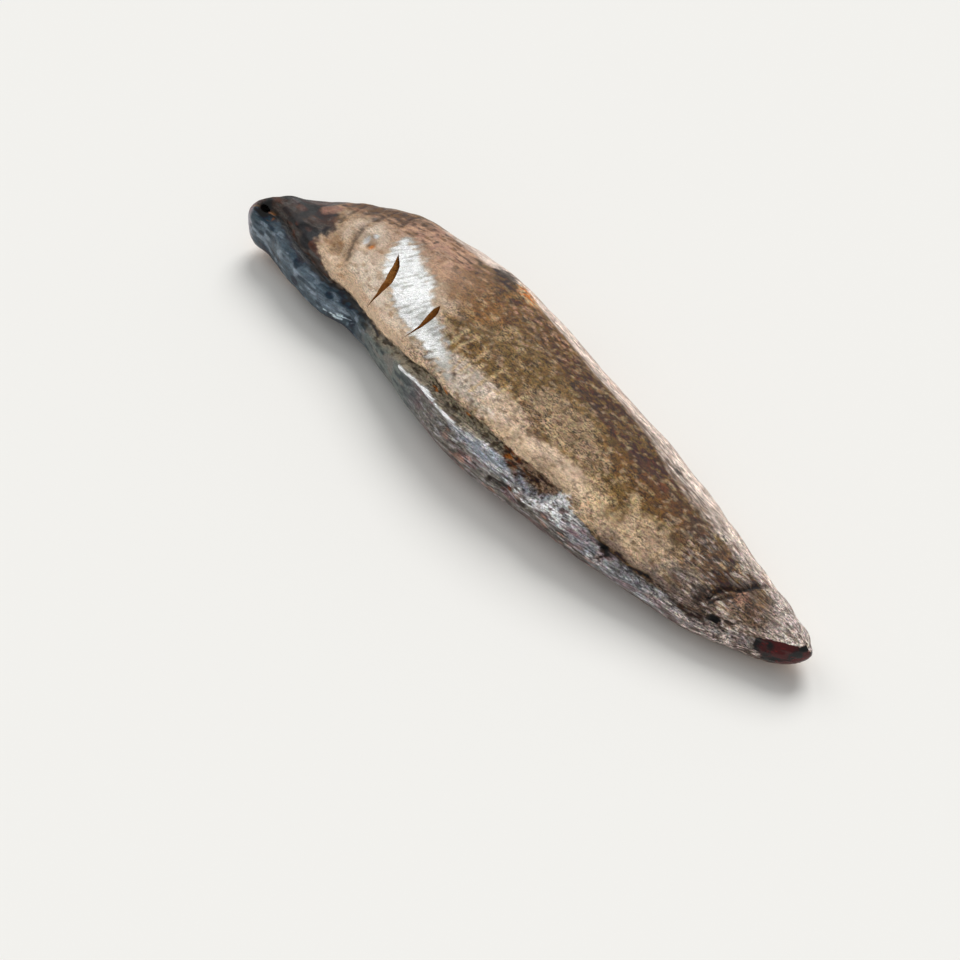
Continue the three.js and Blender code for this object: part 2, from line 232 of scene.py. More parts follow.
def sections(x):
    """The rib points of the sections at x, as two arrays of y and z."""
    t = x / LENGTH
    far = profile(t, **FAR_FLANK) + sum(h * bell((x - at) / reach) for h, at, reach in FAR_SWELLS)
    near = profile(t, **NEAR_FLANK) + sum(h * bell((x - at) / reach) for h, at, reach in NEAR_SWELLS)
    height = profile(t, **HEIGHT)
    lift = HEAD_LIFT["rise"] * clamp(1 - t / HEAD_LIFT["share"]) ** 2
    lift = lift + TAIL_LIFT["rise"] * clamp(1 - (1 - t) / TAIL_LIFT["share"]) ** 2
    to_head = clamp(1 - t / MIDDLE) ** BLEND_POWER
    to_tail = clamp((t - MIDDLE) / (1 - MIDDLE)) ** BLEND_POWER
    size = rounding(x)
    core = CORE_HEIGHT * height
    centre, half = (far - near) / 2, (far + near) / 2
    ys, zs = [], []
    for across, up, _ in RIBS.values():
        side = across[1] + (across[0] - across[1]) * to_head + (across[2] - across[1]) * to_tail
        rise = up[1] + (up[0] - up[1]) * to_head + (up[2] - up[1]) * to_tail
        ys.append(centre + half * side * size)
        zs.append(lift + core + (height * rise - core) * size)
    return np.stack(ys, -1), np.stack(zs, -1)


def on_curve(ribs, v):
    """Points of the closed smooth curves through the ribs, at places v that all sections share."""
    k = np.floor(v).astype(int)
    f = v - k
    a, b, c, d = (ribs[:, (k + n) % RIB_COUNT] for n in (-1, 0, 1, 2))
    straight = 2 * b + (c - a) * f
    square = (2 * a - 5 * b + 4 * c - d) * f**2
    cube = (3 * b - a - 3 * c + d) * f**3
    return (straight + square + cube) / 2


def stations():
    """x of each ring, closer together near the rounded ends."""
    xs = [END_STEP / 2]
    while xs[-1] < LENGTH - END_STEP:
        gap = min(xs[-1], LENGTH - xs[-1]) / END_REACH
        xs.append(xs[-1] + END_STEP + (STATION_STEP - END_STEP) * min(gap, 1))
    xs[-1] = min(xs[-1], LENGTH - END_STEP / 2)
    return np.array(xs)


def places():
    """Places between the ribs, all the way round, with each rib's own number of faces."""
    counts = [count for _, _, count in RIBS.values()]
    return np.concatenate([rib + np.arange(count) / count for rib, count in enumerate(counts)])


class Skin:
    """The fine surface: a grid of rings along x by places round the section, in millimetres."""

    def __init__(self):
        self.xs, self.vs = stations(), places()
        ys, zs = sections(self.xs)
        y, z = on_curve(ys, self.vs), on_curve(zs, self.vs)
        x = np.broadcast_to(self.xs[:, None], y.shape)
        self.smooth = np.stack([x, y, z], -1)
        ring = np.diff(np.concatenate([self.smooth, self.smooth[:, :1]], 1), axis=1)
        lengths = np.cumsum(np.linalg.norm(ring, axis=-1), axis=1)
        self.girth = lengths[:, -1:]
        self.arc = np.concatenate([np.zeros((len(self.xs), 1)), lengths[:, :-1]], 1)
        lengthwise = np.gradient(self.smooth, self.xs, axis=0)
        crosswise = np.roll(self.smooth, -1, 1) - np.roll(self.smooth, 1, 1)
        normal = np.cross(lengthwise, crosswise)
        self.normal = normal / np.linalg.norm(normal, axis=-1, keepdims=True)
        self.x = x
        self.v = np.broadcast_to(self.vs[None], x.shape)
        self.end = rounding(self.xs)[:, None]

    def arc_of(self, v):
        """The distance round the section, at each ring, of a place or of one place for each ring."""
        v = np.broadcast_to(v, self.xs.shape)
        table = np.concatenate([self.arc, self.girth], 1)
        vs = np.append(self.vs, RIB_COUNT)
        return np.array([np.interp(place, vs, row) for place, row in zip(v, table)])[:, None]

    def beside(self, line, offset=0.0):
        """Signed distance round the section from a line, plus to its far side."""
        return self.arc - self.arc_of(along(line, self.xs)) - offset

    def spot(self, x, rib, reach_x, reach_s):
        """1 in the centre of an ellipse on the surface, falling to 0 at its rim."""
        return bell(np.hypot((self.x - x) / reach_x, (self.arc - self.arc_of(rib)) / reach_s))

    def trail(self, path):
        """The distance of each point from a path over the surface."""
        stops = [(x, float(np.interp(x, self.xs, self.arc_of(v)[:, 0]))) for x, v in path]
        nearest = np.full(self.x.shape, np.inf)
        for (x0, s0), (x1, s1) in zip(stops, stops[1:]):
            dx, ds = x1 - x0, s1 - s0
            u = clamp(((self.x - x0) * dx + (self.arc - s0) * ds) / (dx * dx + ds * ds))
            nearest = np.minimum(nearest, np.hypot(self.x - x0 - u * dx, self.arc - s0 - u * ds))
        return nearest

    def inside(self, top, foot):
        """How far each point lies inside the field between two lines, negative outside of it."""
        below_top = self.arc_of(along(top, self.xs)) - self.arc
        above_foot = self.arc - self.arc_of(along(foot, self.xs))
        within = np.minimum(self.x - max(top[0][0], foot[0][0]), min(top[-1][0], foot[-1][0]) - self.x)
        return np.minimum(np.minimum(below_top, above_foot), within)

    def span(self, start, end, fade):
        """1 between two values of x, with soft ends."""
        return clamp((self.x - start) / fade) * clamp((end - self.x) / fade)

    def lumps(self, length, width, seed):
        """A random field between -1 and 1, in lumps of this length along x and this width across."""
        return noise(self.smooth, (length, width, width), seed)


def noise(points, cell, seed):
    """A smooth random field between -1 and 1, with one random value per cell of that size."""
    cells = points / np.array(cell, float)
    low = np.floor(cells.min(axis=tuple(range(cells.ndim - 1)))).astype(int)
    size = np.floor(cells.max(axis=tuple(range(cells.ndim - 1)))).astype(int) - low + 2
    values = np.random.default_rng(seed).uniform(-1, 1, size)
    k = np.floor(cells).astype(int) - low
    f = cells - np.floor(cells)
    f = f**3 * (f * (f * 6 - 15) + 10)  # smooth in slope and curvature at each cell's border
    total = 0
    for corner in np.ndindex(2, 2, 2):
        weight = np.prod(np.where(corner, f, 1 - f), axis=-1)
        total = total + weight * values[tuple((k + corner)[..., n] for n in range(3))]
    return total


def solid_relief(skin):
    """How far the frame's own solid stands out of the smooth body."""
    out = np.zeros_like(skin.arc)
    for line, offset, width, depth, start, end, fade in LINES:
        out -= depth * skin.span(start, end, fade) * bell(skin.beside(line, offset) / width / 2)
    for x, rib, reach_x, reach_s, depth in SPOTS.values():
        out -= depth * skin.spot(x, rib, reach_x, reach_s)
    for length, across, phase, height in WAVES:
        out += height * np.sin(2 * math.pi * (skin.x / length + skin.arc / across) + phase)
    return out * skin.end


def fine_relief(skin):
    """What the fine surface adds: sharp creases, the pit's floor, wrinkles and small lumps."""
    ragged = 0.5 * skin.lumps(2.4, 1.4, 10)
    seam = skin.beside(SEAM)
    pit = step(skin.inside(PIT_TOP, PIT_FOOT) + 0.5 * ragged, -0.2, 0.5)
    regions = {
        "pit": pit,
        "rear": 0.3 + 0.7 * step(skin.x, 84, 100) * step(skin.v, 12.2, 11.5),
        "band": step(seam, 0.5, -1.5) * (skin.v < 4.5),
        "head": step(skin.x, 50, 26),
        "tail": step(skin.x, 150, 185),
        "under": step(skin.v, *UNDER_FAR),
    }
    out = -0.5 * skin.span(4, 84, 6) * bell((seam - 0.35 + ragged) / 0.9)
    out -= 0.6 * step(skin.inside(HOLLOW_TOP, HOLLOW_FOOT) + 0.5 * ragged, -0.1, 0.5)
    out -= 0.8 * pit
    for paths, depth, uneven, half in FINE_LINES:
        for path in paths:
            out -= depth * bell((skin.trail(path) + uneven * ragged) / half)
    for region, height, length, width, seed in FINE_LUMPS:
        out += height * skin.lumps(length, width, seed) * regions[region]
    for x, rib, reach_x, reach_s, depth in FINE_SPOTS:
        out -= depth * skin.spot(x, rib, reach_x, reach_s)
    return out * skin.end


# Studio light: the even sky's radiance, the floor's light from below, and two wide distant lights
# as azimuth from +X towards +Y, elevation, spread and strength
SKY = 0.45
BOUNCE = 0.45
KEY = dict(azimuth=116, elevation=48, spread=35, strength=2.0)
GLINT = dict(azimuth=176, elevation=43, spread=34, strength=0.45)
FLOOR = dict(colour=(0.872, 0.864, 0.834), half=4.0, rough=0.9)
# The even gloss on top of the colour, and the least and the most that the flesh itself reflects
GLOSS = 0.03
ALBEDO_RANGE = (0.003, 0.85)
# The view, with its target in the frame's millimetres
CAMERA = dict(
    azimuth=-44.904, elevation=50, distance=824.086, target=(1.866, -22.19, 0), lens=120, sensor=36,
)
CLIP_RANGE = (0.01, 50)

# Colours as the photograph shows them under its light, as sRGB 0 to 255
COLOURS = dict(
    # skin face, with silvery skin that carries a painted highlight, and soot that also serves as painted
    # shade
    olive=(120, 96, 64), beige=(184, 160, 136), cream=(204, 188, 170), tan=(184, 160, 134),
    tan_pale=(200, 176, 152), grey=(170, 157, 144), pinkish=(168, 136, 114), rose=(164, 122, 106),
    rosy=(178, 138, 114), peach=(200, 158, 128), brown=(130, 95, 62), far_brown=(110, 78, 48),
    far_dark=(72, 51, 33), purple=(100, 76, 72), rust=(118, 72, 46), soot_and_shade=(44, 36, 30),
    amber=(150, 92, 36), orange=(204, 116, 44), straw=(196, 170, 132),
    silver=(219, 220, 219), silver_grey_sheen=(160, 160, 154),
    # far side and underside, with a pink rim that is partly a painted highlight
    bevel=(166, 150, 138), bevel_pale=(210, 194, 182), bevel_dark=(112, 96, 88),
    edge_pink_and_rim_light=(250, 230, 216), cut_flesh=(144, 120, 102), cut_dark=(100, 77, 64),
    # rolled band, seam and pit; glint is a painted highlight, lip makes the painted highlight along the
    # lip's edge and pale flecks on the band, and seam is a dark colour that also serves as painted shade in
    # grooves
    band=(96, 92, 88), band_purple=(100, 80, 82), band_low=(84, 70, 68), band_blue=(122, 128, 136),
    band_pale=(160, 158, 160), band_green=(88, 92, 88), slate=(58, 68, 75),
    slate_pale=(120, 130, 140), slate_dark=(36, 42, 48), glint=(168, 182, 192), lip=(214, 220, 220),
    seam=(40, 34, 30), hollow_grey=(118, 110, 96), pit=(118, 100, 86),
    # head end
    head_dark=(72, 66, 63), head_brown=(62, 47, 39), head_grey=(92, 90, 88), head_rust=(92, 62, 52),
    head_rim=(118, 98, 102),
    # tail end, with the painted shadow before the crease
    tail_grey=(106, 94, 88), tail_brown=(94, 74, 62), crease_shadow=(50, 39, 34), tail_pale=(194, 180, 172),
    tip_red=(76, 6, 11), tip_glint=(120, 60, 62), tip_black=(34, 8, 10),
)


def linear(colour):
    """Linear light of an sRGB colour given as 0 to 255."""
    c = np.array(colour, float) / 255
    return np.where(c <= 0.04045, c / 12.92, ((c + 0.055) / 1.055) ** 2.4)


def toward(azimuth, elevation):
    """The direction towards a light from its azimuth and elevation in degrees."""
    a, e = math.radians(azimuth), math.radians(elevation)
    return Vector((math.cos(a) * math.cos(e), math.sin(a) * math.cos(e), math.sin(e)))


def light_on(normal):
    """How much light falls on each point, as a share of what a white floor would show."""
    up = normal[..., 2]
    light = SKY * (1 + up) / 2 + BOUNCE * (1 - up) / 2
    for lamp in (KEY, GLINT):
        facing = normal @ np.array(toward(lamp["azimuth"], lamp["elevation"]))
        light = light + lamp["strength"] / math.pi * clamp(facing, 0.0, 1.0)
    return light


# How soft the borders of patches and strips are, in shares of the patch and in millimetres
PATCH_SOFT = 0.25
STRIP_SOFT = 0.6


class Paint:
    """Colour and finish of the fine surface, laid on in ragged patches one over the other.

    Masks run from 0 to 1. Inside them, lengths are in millimetres and v is a place between the ribs.
    """

    def __init__(self, skin):
        self.skin = skin
        self.wander = 0.65 * skin.lumps(9, 5, 31) + 0.35 * skin.lumps(3, 1.8, 32)
        self.torn = 0.6 * skin.lumps(1.9, 1.2, 33) + 0.4 * skin.lumps(0.9, 0.6, 34)
        self.edge = 0.6 * self.wander + 0.4 * self.torn
        shape = skin.arc.shape
        self.tone = np.zeros(shape + (3,)) + linear(COLOURS["olive"])
        self.grain = np.full(shape, 1.0)
        self.rough = np.full(shape, 0.6)
        self.silver = np.zeros(shape)
        self.streak = np.zeros(shape)

    def over(self, colour, mask, strength=1.0):
        """Lay a colour over what is there, as far as the mask says."""
        mask = clamp(mask * strength)
        self.tone += (linear(COLOURS[colour]) - self.tone) * mask[..., None]

    def mottle(self, colour, mask, length, width, level, seed, strength, soft=0.25):
        """Blots of a colour inside a mask, where a random field of that grain passes the level."""
        blots = step(self.skin.lumps(length, width, seed), level, level + soft)
        self.over(colour, mask * blots, strength)

    def mottles(self, *rows):
        """Blots of several kinds, one over the other, each with mottle's own values."""
        for row in rows:
            self.mottle(*row)

    def stroke(self, colour, path, ragged, start, end, strength):
        """A line along a path, from nothing at one distance to its full colour at a nearer one."""
        self.over(colour, step(self.skin.trail(path) + ragged * self.torn, start, end), strength)

    def dab(self, colour, x, rib, reach_x, reach_s, strength, ragged=0.5):
        """A ragged ellipse of a colour."""
        self.over(colour, self.patch(x, rib, reach_x, reach_s, ragged), strength)

    def finish(self, mask, **values):
        """Set grain, roughness, silver sheen or streak to a value, as far as the mask says."""
        for name, value in values.items():
            field = getattr(self, name)
            setattr(self, name, field + (value - field) * clamp(mask))

    def patch(self, x, rib, reach_x, reach_s, ragged=0.5):
        """The mask of an ellipse on the surface with a ragged edge."""
        s = self.skin
        d = np.hypot((s.x - x) / reach_x, (s.arc - s.arc_of(rib)) / reach_s) + ragged * self.edge
        return step(d, 1 + PATCH_SOFT, 1 - PATCH_SOFT)

    def strip(self, line, start, end, low, high, ragged=1.0, fade=6.0):
        """The mask of a strip beside a line, between two distances round the section."""
        s = self.skin
        d = s.beside(line) + ragged * self.edge
        rise = step(d, low - STRIP_SOFT, low + STRIP_SOFT)
        return rise * step(d, high + STRIP_SOFT, high - STRIP_SOFT) * s.span(start, end, fade)

    def albedo(self):
        """The colours of the flesh itself, once the light that falls on each point is taken out; the painted
        highlights and painted shade stay in them.
        """
        light = light_on(self.skin.normal)[..., None]
        return clamp((self.tone - GLOSS) / light, *ALBEDO_RANGE)


# Ragged patches of the skin face, from first laid to last: colour, x, place, reach along and
# across, strength
FACE_PATCHES = [
    ("beige", 46, 4.8, 32, 14, 1.0),
    ("pinkish", 56, 6.3, 20, 8, 0.8),
    ("rosy", 52, 7.0, 16, 5, 0.8),
    ("peach", 65, 6.1, 5, 5, 0.6),
    ("brown", 78, 6.4, 13, 9, 0.9),
    ("far_brown", 24, 7.0, 8, 4.5, 0.9),
    ("far_dark", 34, 7.3, 10, 3.2, 0.85),
    ("far_dark", 46, 7.25, 5, 1.2, 0.6),
    ("tan", 157, 4.3, 12, 5.5, 0.85),
    ("tan", 139, 4.4, 9, 3.6, 0.7),
    ("grey", 96, 4.5, 12, 4.4, 1.0),
    ("tan_pale", 109, 4.6, 9, 4, 0.8),
    ("tan_pale", 124, 4.35, 16, 3.8, 1.0),
    ("tan", 123, 5.3, 15, 5, 0.45),
    ("straw", 141, 4.6, 6, 3, 0.3),
    ("olive", 147.5, 4.5, 3.4, 2.6, 0.75),
    ("far_brown", 98, 7.2, 22, 5.5, 0.8),
    ("far_dark", 128, 7.1, 28, 5, 0.8),
    ("far_dark", 152, 6.4, 18, 4.5, 0.8),
    ("far_brown", 150, 5.7, 18, 3.5, 0.6),
    ("straw", 149.4, 5.05, 2.0, 1.6, 0.6),
    ("rust", 151.3, 6.3, 1.8, 1.2, 0.5),
    ("tail_brown", 176, 5.8, 15, 8, 0.85),
    ("tail_grey", 173, 3.9, 10, 5, 0.85),
    ("tail_grey", 149, 3.75, 4, 2.4, 0.6),
    ("cream", 37, 5.5, 4.5, 4.5, 0.45),
    ("cream", 45, 4.5, 7, 4, 0.8),
    ("cream", 53, 4.1, 6, 2.6, 0.7),
    ("cream", 62, 3.95, 9, 1.8, 0.6),
    ("cream", 78, 4.0, 9, 1.4, 0.6),
    ("brown", 31, 4.6, 3.5, 3, 0.35),
]
# Patches with less speckle: x, place, reach along and across, grain
QUIET_PATCHES = [(100, 4.5, 18, 4.6, 0.55), (124, 4.4, 16, 3.6, 0.45), (156, 4.3, 14, 6, 0.75)]
# Light scratches across the skin
SCRATCHES = [
    [(82.4, 4.75), (83.6, 5.2)], [(84.6, 4.6), (85.3, 4.9)], [(85.8, 4.95), (88.0, 5.35)],
    [(88.2, 4.45), (88.9, 4.8)], [(88.6, 5.3), (91, 5.3)], [(90.3, 4.5), (92.4, 5.25)],
    [(93.3, 4.7), (94.0, 5.0)], [(96.6, 4.4), (97.6, 4.8)], [(98.2, 4.85), (99.4, 5.3)],
    [(103, 4.75), (103.8, 5.1)], [(108.4, 5.0), (109.5, 5.2)], [(154.5, 4.3), (156, 5.2)],
    [(147, 5.15), (150, 5.35)],
]
# Upper and lower edge of the silvery patch with its painted highlight, as x and place, its ends, and the
# turn of its ripples
SILVER_SHEEN_TOP = [(44, 5.95), (50, 6.0), (56, 5.8), (64, 5.45), (72, 5.0), (80, 4.75), (90, 4.35)]
SILVER_SHEEN_FOOT = [(44, 5.5), (48, 4.95), (52, 4.55), (58, 4.3), (64, 4.15), (72, 4.2), (90, 4.15)]
SILVER_SHEEN_START, SILVER_SHEEN_END = 46.8, 90
RIPPLE_TURN = math.radians(45)
# Where the pink rim begins, as x and place; the rim is pale flesh with a painted highlight along the edge
RIM_START = [(50, 7.75), (72, 7.85), (84, 8.25), (120, 8.5)]
# Small torn spots that show amber above the lip
AMBER_SPOTS = [[(84.6, 3.6), (86, 3.64)], [(98.8, 3.93), (99.6, 3.9)], [(90, 3.95), (90.6, 3.92)]]
# Borders of the dark head, of the shadow before the tail crease and of the tip, as place and x
HEAD_BORDER = [
    (3.2, 38), (4, 29), (4.6, 26.5), (5, 28.5), (5.6, 25.5), (6.3, 22.5), (7.2, 21.5), (8.4, 24), (11, 15),
]
CREASE_BORDER = [(3.6, 178), (5, 181.5), (6, 185), (7.2, 187.5)]
TIP_BORDER = [(0.8, 196), (2, 195.6), (2.8, 193.6), (3.5, 196), (4.05, 201), (4.4, 204.2), (9, 205)]
TIP_BORDER_BELOW = (11, 203)


def paint_face(paint):
    """The broad skin face: beige and smooth at the head half, olive and speckled at the tail half."""
    s = paint.skin
    for row in FACE_PATCHES:
        paint.dab(*row)
    paint.over("beige", paint.strip(SEAM, 36, 96, 0, 4.5), 0.9)
    paint.over("tan", paint.strip(SEAM, 90, 150, 0, 4.5), 0.8)
    paint.over("tail_grey", paint.strip(SEAM, 144, 200, 0, 3.0), 0.7)
    smooth = step(s.x + 6 * paint.edge, 82, 66)
    paint.finish(smooth, rough=0.42, grain=0.4)
    for *place, grain in QUIET_PATCHES:
        paint.finish(paint.patch(*place), grain=grain)
    rear = (1 - smooth) * step(s.v, 3.4, 3.8)
    outer = rear * step(s.v, 6.2, 7.0) * step(s.x, 120, 100)
    pale_side = rear * paint.patch(96, 4.5, 13, 4.4)
    front = smooth * step(s.v, 3.4, 3.8)
    upper = front * step(s.v, 5.7, 6.4)
    paint.mottles(
        ("straw", rear, 2.6, 1.5, 0.32, 41, 0.3),
        ("soot_and_shade", rear, 2.2, 1.3, 0.32, 42, 0.35),
        ("purple", rear * step(s.v, 5.8, 5.2), 5, 3, 0.25, 43, 0.3),
        ("rust", rear * step(s.v, 5.4, 6.4), 1.4, 0.8, 0.4, 44, 0.4),
        ("tan", rear, 1.2, 0.8, 0.32, 45, 0.4),
        ("far_dark", rear, 1.3, 0.8, 0.28, 46, 0.5),
        ("olive", rear * step(s.v, 6.3, 6.9), 1.3, 0.7, 0.05, 124, 0.6),
        ("rosy", outer, 1.6, 0.8, 0.2, 56, 0.6),
        ("seam", outer, 1.9, 0.8, 0.22, 57, 0.6),
        ("edge_pink_and_rim_light", pale_side, 1.6, 0.8, 0.3, 58, 0.4),
        ("cream", pale_side, 1.0, 0.7, 0.25, 59, 0.6),
        ("pinkish", front, 5, 3, 0.2, 47, 0.4),
        ("cream", front * step(s.v, 6, 5.4), 3, 2, 0.3, 48, 0.35),
        ("brown", front, 2.2, 1.2, 0.36, 49, 0.45),
        ("peach", upper, 2.2, 1.1, 0.1, 53, 0.6),
        ("far_brown", upper, 2.2, 1.0, 0.15, 50, 0.75),
        ("far_dark", upper * step(s.x, 52, 40), 2.2, 0.9, 0.15, 55, 0.8),
        ("rose", upper, 2, 1.4, 0.3, 51, 0.5),
        ("soot_and_shade", upper, 1.3, 0.8, 0.3, 54, 0.7),
        ("soot_and_shade", upper * step(s.v, 7.4, 8.2), 2.6, 1.4, 0.15, 52, 0.5),
    )
    for path in SCRATCHES:
        paint.stroke("straw", path, 0.7, 0.6, 0.15, 0.6)


def paint_silver(paint):
    """The silvery skin of the head half with a painted highlight over it, with torn edges, in ripples that
    run slantwise.
    """
    s = paint.skin
    slanted = s.smooth @ np.array(Matrix.Rotation(-RIPPLE_TURN, 3, "Z")).T
    ripples = 0.7 * noise(slanted, (4.5, 0.6, 1.4), 61) + 0.3 * noise(slanted, (1.6, 0.45, 0.8), 62)
    above = s.arc - s.arc_of(along(SILVER_SHEEN_FOOT, s.xs))
    below = s.arc_of(along(SILVER_SHEEN_TOP, s.xs)) - s.arc
    ahead = (s.x - SILVER_SHEEN_START) * 1.3
    behind = (SILVER_SHEEN_END - s.x) * 0.35
    within = np.minimum(np.minimum(above, below), np.minimum(ahead, behind))
    within = within + 1.1 * paint.torn
    patch = step(within + 1.6 * ripples + 1.0 * paint.wander, -1.2, 1.0)
    # Silver-grey over the patch, then a painted highlight in bright white streaks with grey ripples between
    # them
    paint.over("silver_grey_sheen", patch, 0.75)
    bright = step(within + 1.6 * ripples + 1.2 * paint.wander, 0.0, 1.9) * step(s.x + 4 * ripples, 88, 78)
    paint.over("silver", bright)
    paint.over("silver_grey_sheen", bright * step(ripples, 0.05, -0.45), 0.8)
    paint.mottle("beige", patch * step(within, 2.2, 0.4), 1.8, 0.9, 0.2, 123, 0.8)
    paint.finish(patch, silver=0.8, rough=0.24, grain=0.2)


def paint_dimple(paint):
    """The wet dimple ahead of the silvery patch, with its painted glints and an orange spot."""
    s = paint.skin
    paint.dab("cream", 40, 5.3, 5, 4.6, 0.4)
    # Painted highlights: two white glints on the wet dimple
    paint.dab("silver", 38.9, 5.15, 0.9, 1.9, 0.9, ragged=0.9)
    paint.dab("silver", 40.3, 5.38, 1.1, 0.8, 0.9, ragged=0.9)
    paint.over("brown", s.spot(41.2, 5.02, 2.4, 2.2), 0.9)
    paint.over("orange", s.spot(41.7, 4.98, 1.5, 1.2), 0.7)
    paint.over("soot_and_shade", s.spot(40.2, 5.02, 0.7, 1.0), 0.8)
    paint.finish(s.spot(40, 5.08, 4, 3.2), rough=0.14, grain=0.2)


def paint_far_side(paint):
    """The pale cut bevel along the far side, and the pink rim, pale flesh with a painted highlight along the
    edge, with its black and singed spots.
    """
    s = paint.skin
    beyond = s.beside(BEVEL_LINE) + 1.2 * paint.edge
    edge = step(beyond, -0.6, 0.8) * step(s.x + 7 * paint.edge, 78, 92) * step(s.v, 12.2, 11.8)
    paint.over("bevel", edge)
    paint.mottles(
        ("bevel_pale", edge, 10, 0.7, -0.05, 71, 0.8),
        ("bevel_dark", edge, 6, 0.5, 0.12, 72, 0.85),
        ("far_brown", edge * step(beyond, 4, 0) * step(s.x, 175, 160), 3, 1, 0.1, 73, 0.6),
        ("rose", edge, 6, 2, 0.3, 74, 0.4),
    )
    paint.finish(edge, rough=0.55, grain=0.6, streak=1)
    # Painted highlight along the far edge, over pale pink flesh
    rim = step(s.v - along(RIM_START, s.x) + 0.3 * paint.edge, -0.2, 0.2)
    rim = rim * step(s.v + 0.5 * paint.edge, 9.5, 8.8)
    rim = rim * step(s.x + 12 * paint.edge + 5 * paint.torn, 46, 66)
    paint.over("edge_pink_and_rim_light", rim, 0.8)
    paint.mottle("bevel", rim, 6, 0.8, 0.1, 125, 0.7)
    paint.mottle("rose", rim, 4, 1.2, 0.2, 75, 0.4)
    paint.dab("soot_and_shade", 75.5, 7.9, 6, 3.6, 0.9, ragged=1.1)
    singed = paint.patch(83.5, 8.1, 5, 3.0, ragged=0.8)
    paint.over("straw", singed, 0.85)
    paint.mottle("orange", singed, 1.4, 0.7, -0.1, 121, 0.9)
    paint.mottle("soot_and_shade", singed, 1.0, 0.6, 0.25, 122, 0.85)
    paint.dab("soot_and_shade", 149.1, 8.1, 1.3, 1.0, 0.9, ragged=0.8)


def paint_cut_flesh(paint):
    """The hidden cut flesh of the far flank and of the underside, with fibres and a dark cleft."""
    s = paint.skin
    flank = step(s.v + 0.5 * paint.edge, 9.2, 10.0) * step(s.v, 12.2, 11.8)
    bare = flank * step(s.x + 12 * paint.edge, 16, 44)
    paint.over("cut_flesh", bare, 0.85)
    paint.mottle("bevel_pale", bare, 10, 1, 0.15, 76, 0.6)
    paint.mottle("cut_dark", flank, 8, 0.9, 0.2, 77, 0.6)
    paint.finish(flank, rough=0.62, grain=0.7, streak=1)
    under = np.maximum(step(s.v, *UNDER_FAR), step(s.v, *UNDER_NEAR))
    paint.over("cut_flesh", under)
    paint.mottle("cut_dark", under, 9, 2, -0.1, 78, 0.7)
    paint.over("cut_dark", under * s.spot(102, 12.42, 80, 7), 0.6)
    paint.finish(under, rough=0.66, grain=0.7, streak=1)


def paint_band(paint, seam, near):
    """The rolled band along the near side, grey and streaked behind and slate blue at the head."""
    s = paint.skin
    band = step(seam + 0.4 * paint.torn, 0.3, -0.3) * near * step(s.v, 0.5, 0.9)
    paint.over("band", band)
    paint.mottle("band_purple", band, 8, 2.6, 0.1, 81, 0.7)
    paint.over("band_low", band * step(s.v + 0.5 * paint.edge, 2.2, 1.4), 0.8)
    paint.mottles(
        ("band_pale", band, 3, 0.55, 0.26, 82, 0.4),
        ("seam", band * step(s.x, 60, 100), 2.6, 0.6, 0.2, 83, 0.6),
        ("rose", band * s.span(90, 160, 10), 3, 1.5, 0.4, 84, 0.35),
    )
    paint.finish(band, rough=0.45, grain=0.8, streak=0.8)
    pale = paint.strip(SEAM, 104, 200, -6.5, -0.8, ragged=2.4, fade=14) * band
    paint.over("band_blue", pale, 0.35)
    paint.mottles(
        ("band_pale", pale, 3, 0.5, 0.05, 85, 0.6),
        ("seam", pale, 2, 0.7, 0.25, 88, 0.5),
        ("band_purple", pale, 4, 1.2, 0.15, 126, 0.6),
        ("lip", band * s.span(98, 146, 8) * step(s.v, 2.4, 3.0), 2.4, 0.45, 0.34, 127, 0.5),
    )
    shine = paint.patch(110, 3.25, 12, 2.6, ragged=0.7) * band
    paint.over("band_blue", shine, 0.8)
    paint.mottle("band_pale", shine, 2.6, 0.6, -0.05, 109, 0.85)
    roll = band * step(s.x + 6 * paint.edge, 88, 70)
    paint.over("slate", roll, 0.95)
    paint.over("band_green", roll * step(s.x + 5 * paint.edge, 46, 62), 0.9)
    paint.mottle("tail_grey", roll * step(s.x, 46, 60), 3, 1.5, 0.2, 89, 0.4)
    paint.mottle("slate_pale", roll * step(s.x, 60, 48), 2.6, 1.1, 0.22, 86, 0.5)
    # Painted highlight: a paler streak along the crest of the roll at the head
    roll_highlight = bell((seam + 4.5 + 1.2 * paint.wander) / 3.2)
    paint.over("slate_pale", roll * roll_highlight * step(s.x, 3, 12) * step(s.x, 50, 40), 0.3)
    paint.mottle("slate_dark", roll, 2.8, 1.3, 0.12, 87, 0.7)
    paint.over("slate_dark", roll * step(s.v, 2.0, 1.2), 0.6)
    paint.finish(roll, rough=0.36, grain=0.4, streak=0.3)
    paint.mottle("glint", paint.patch(42, 2.05, 5, 1.5, ragged=0.8), 1.1, 0.5, 0.1, 90, 0.8)
    paint.dab("slate_dark", 44.5, 2.8, 3.0, 1.0, 0.95, ragged=0.6)


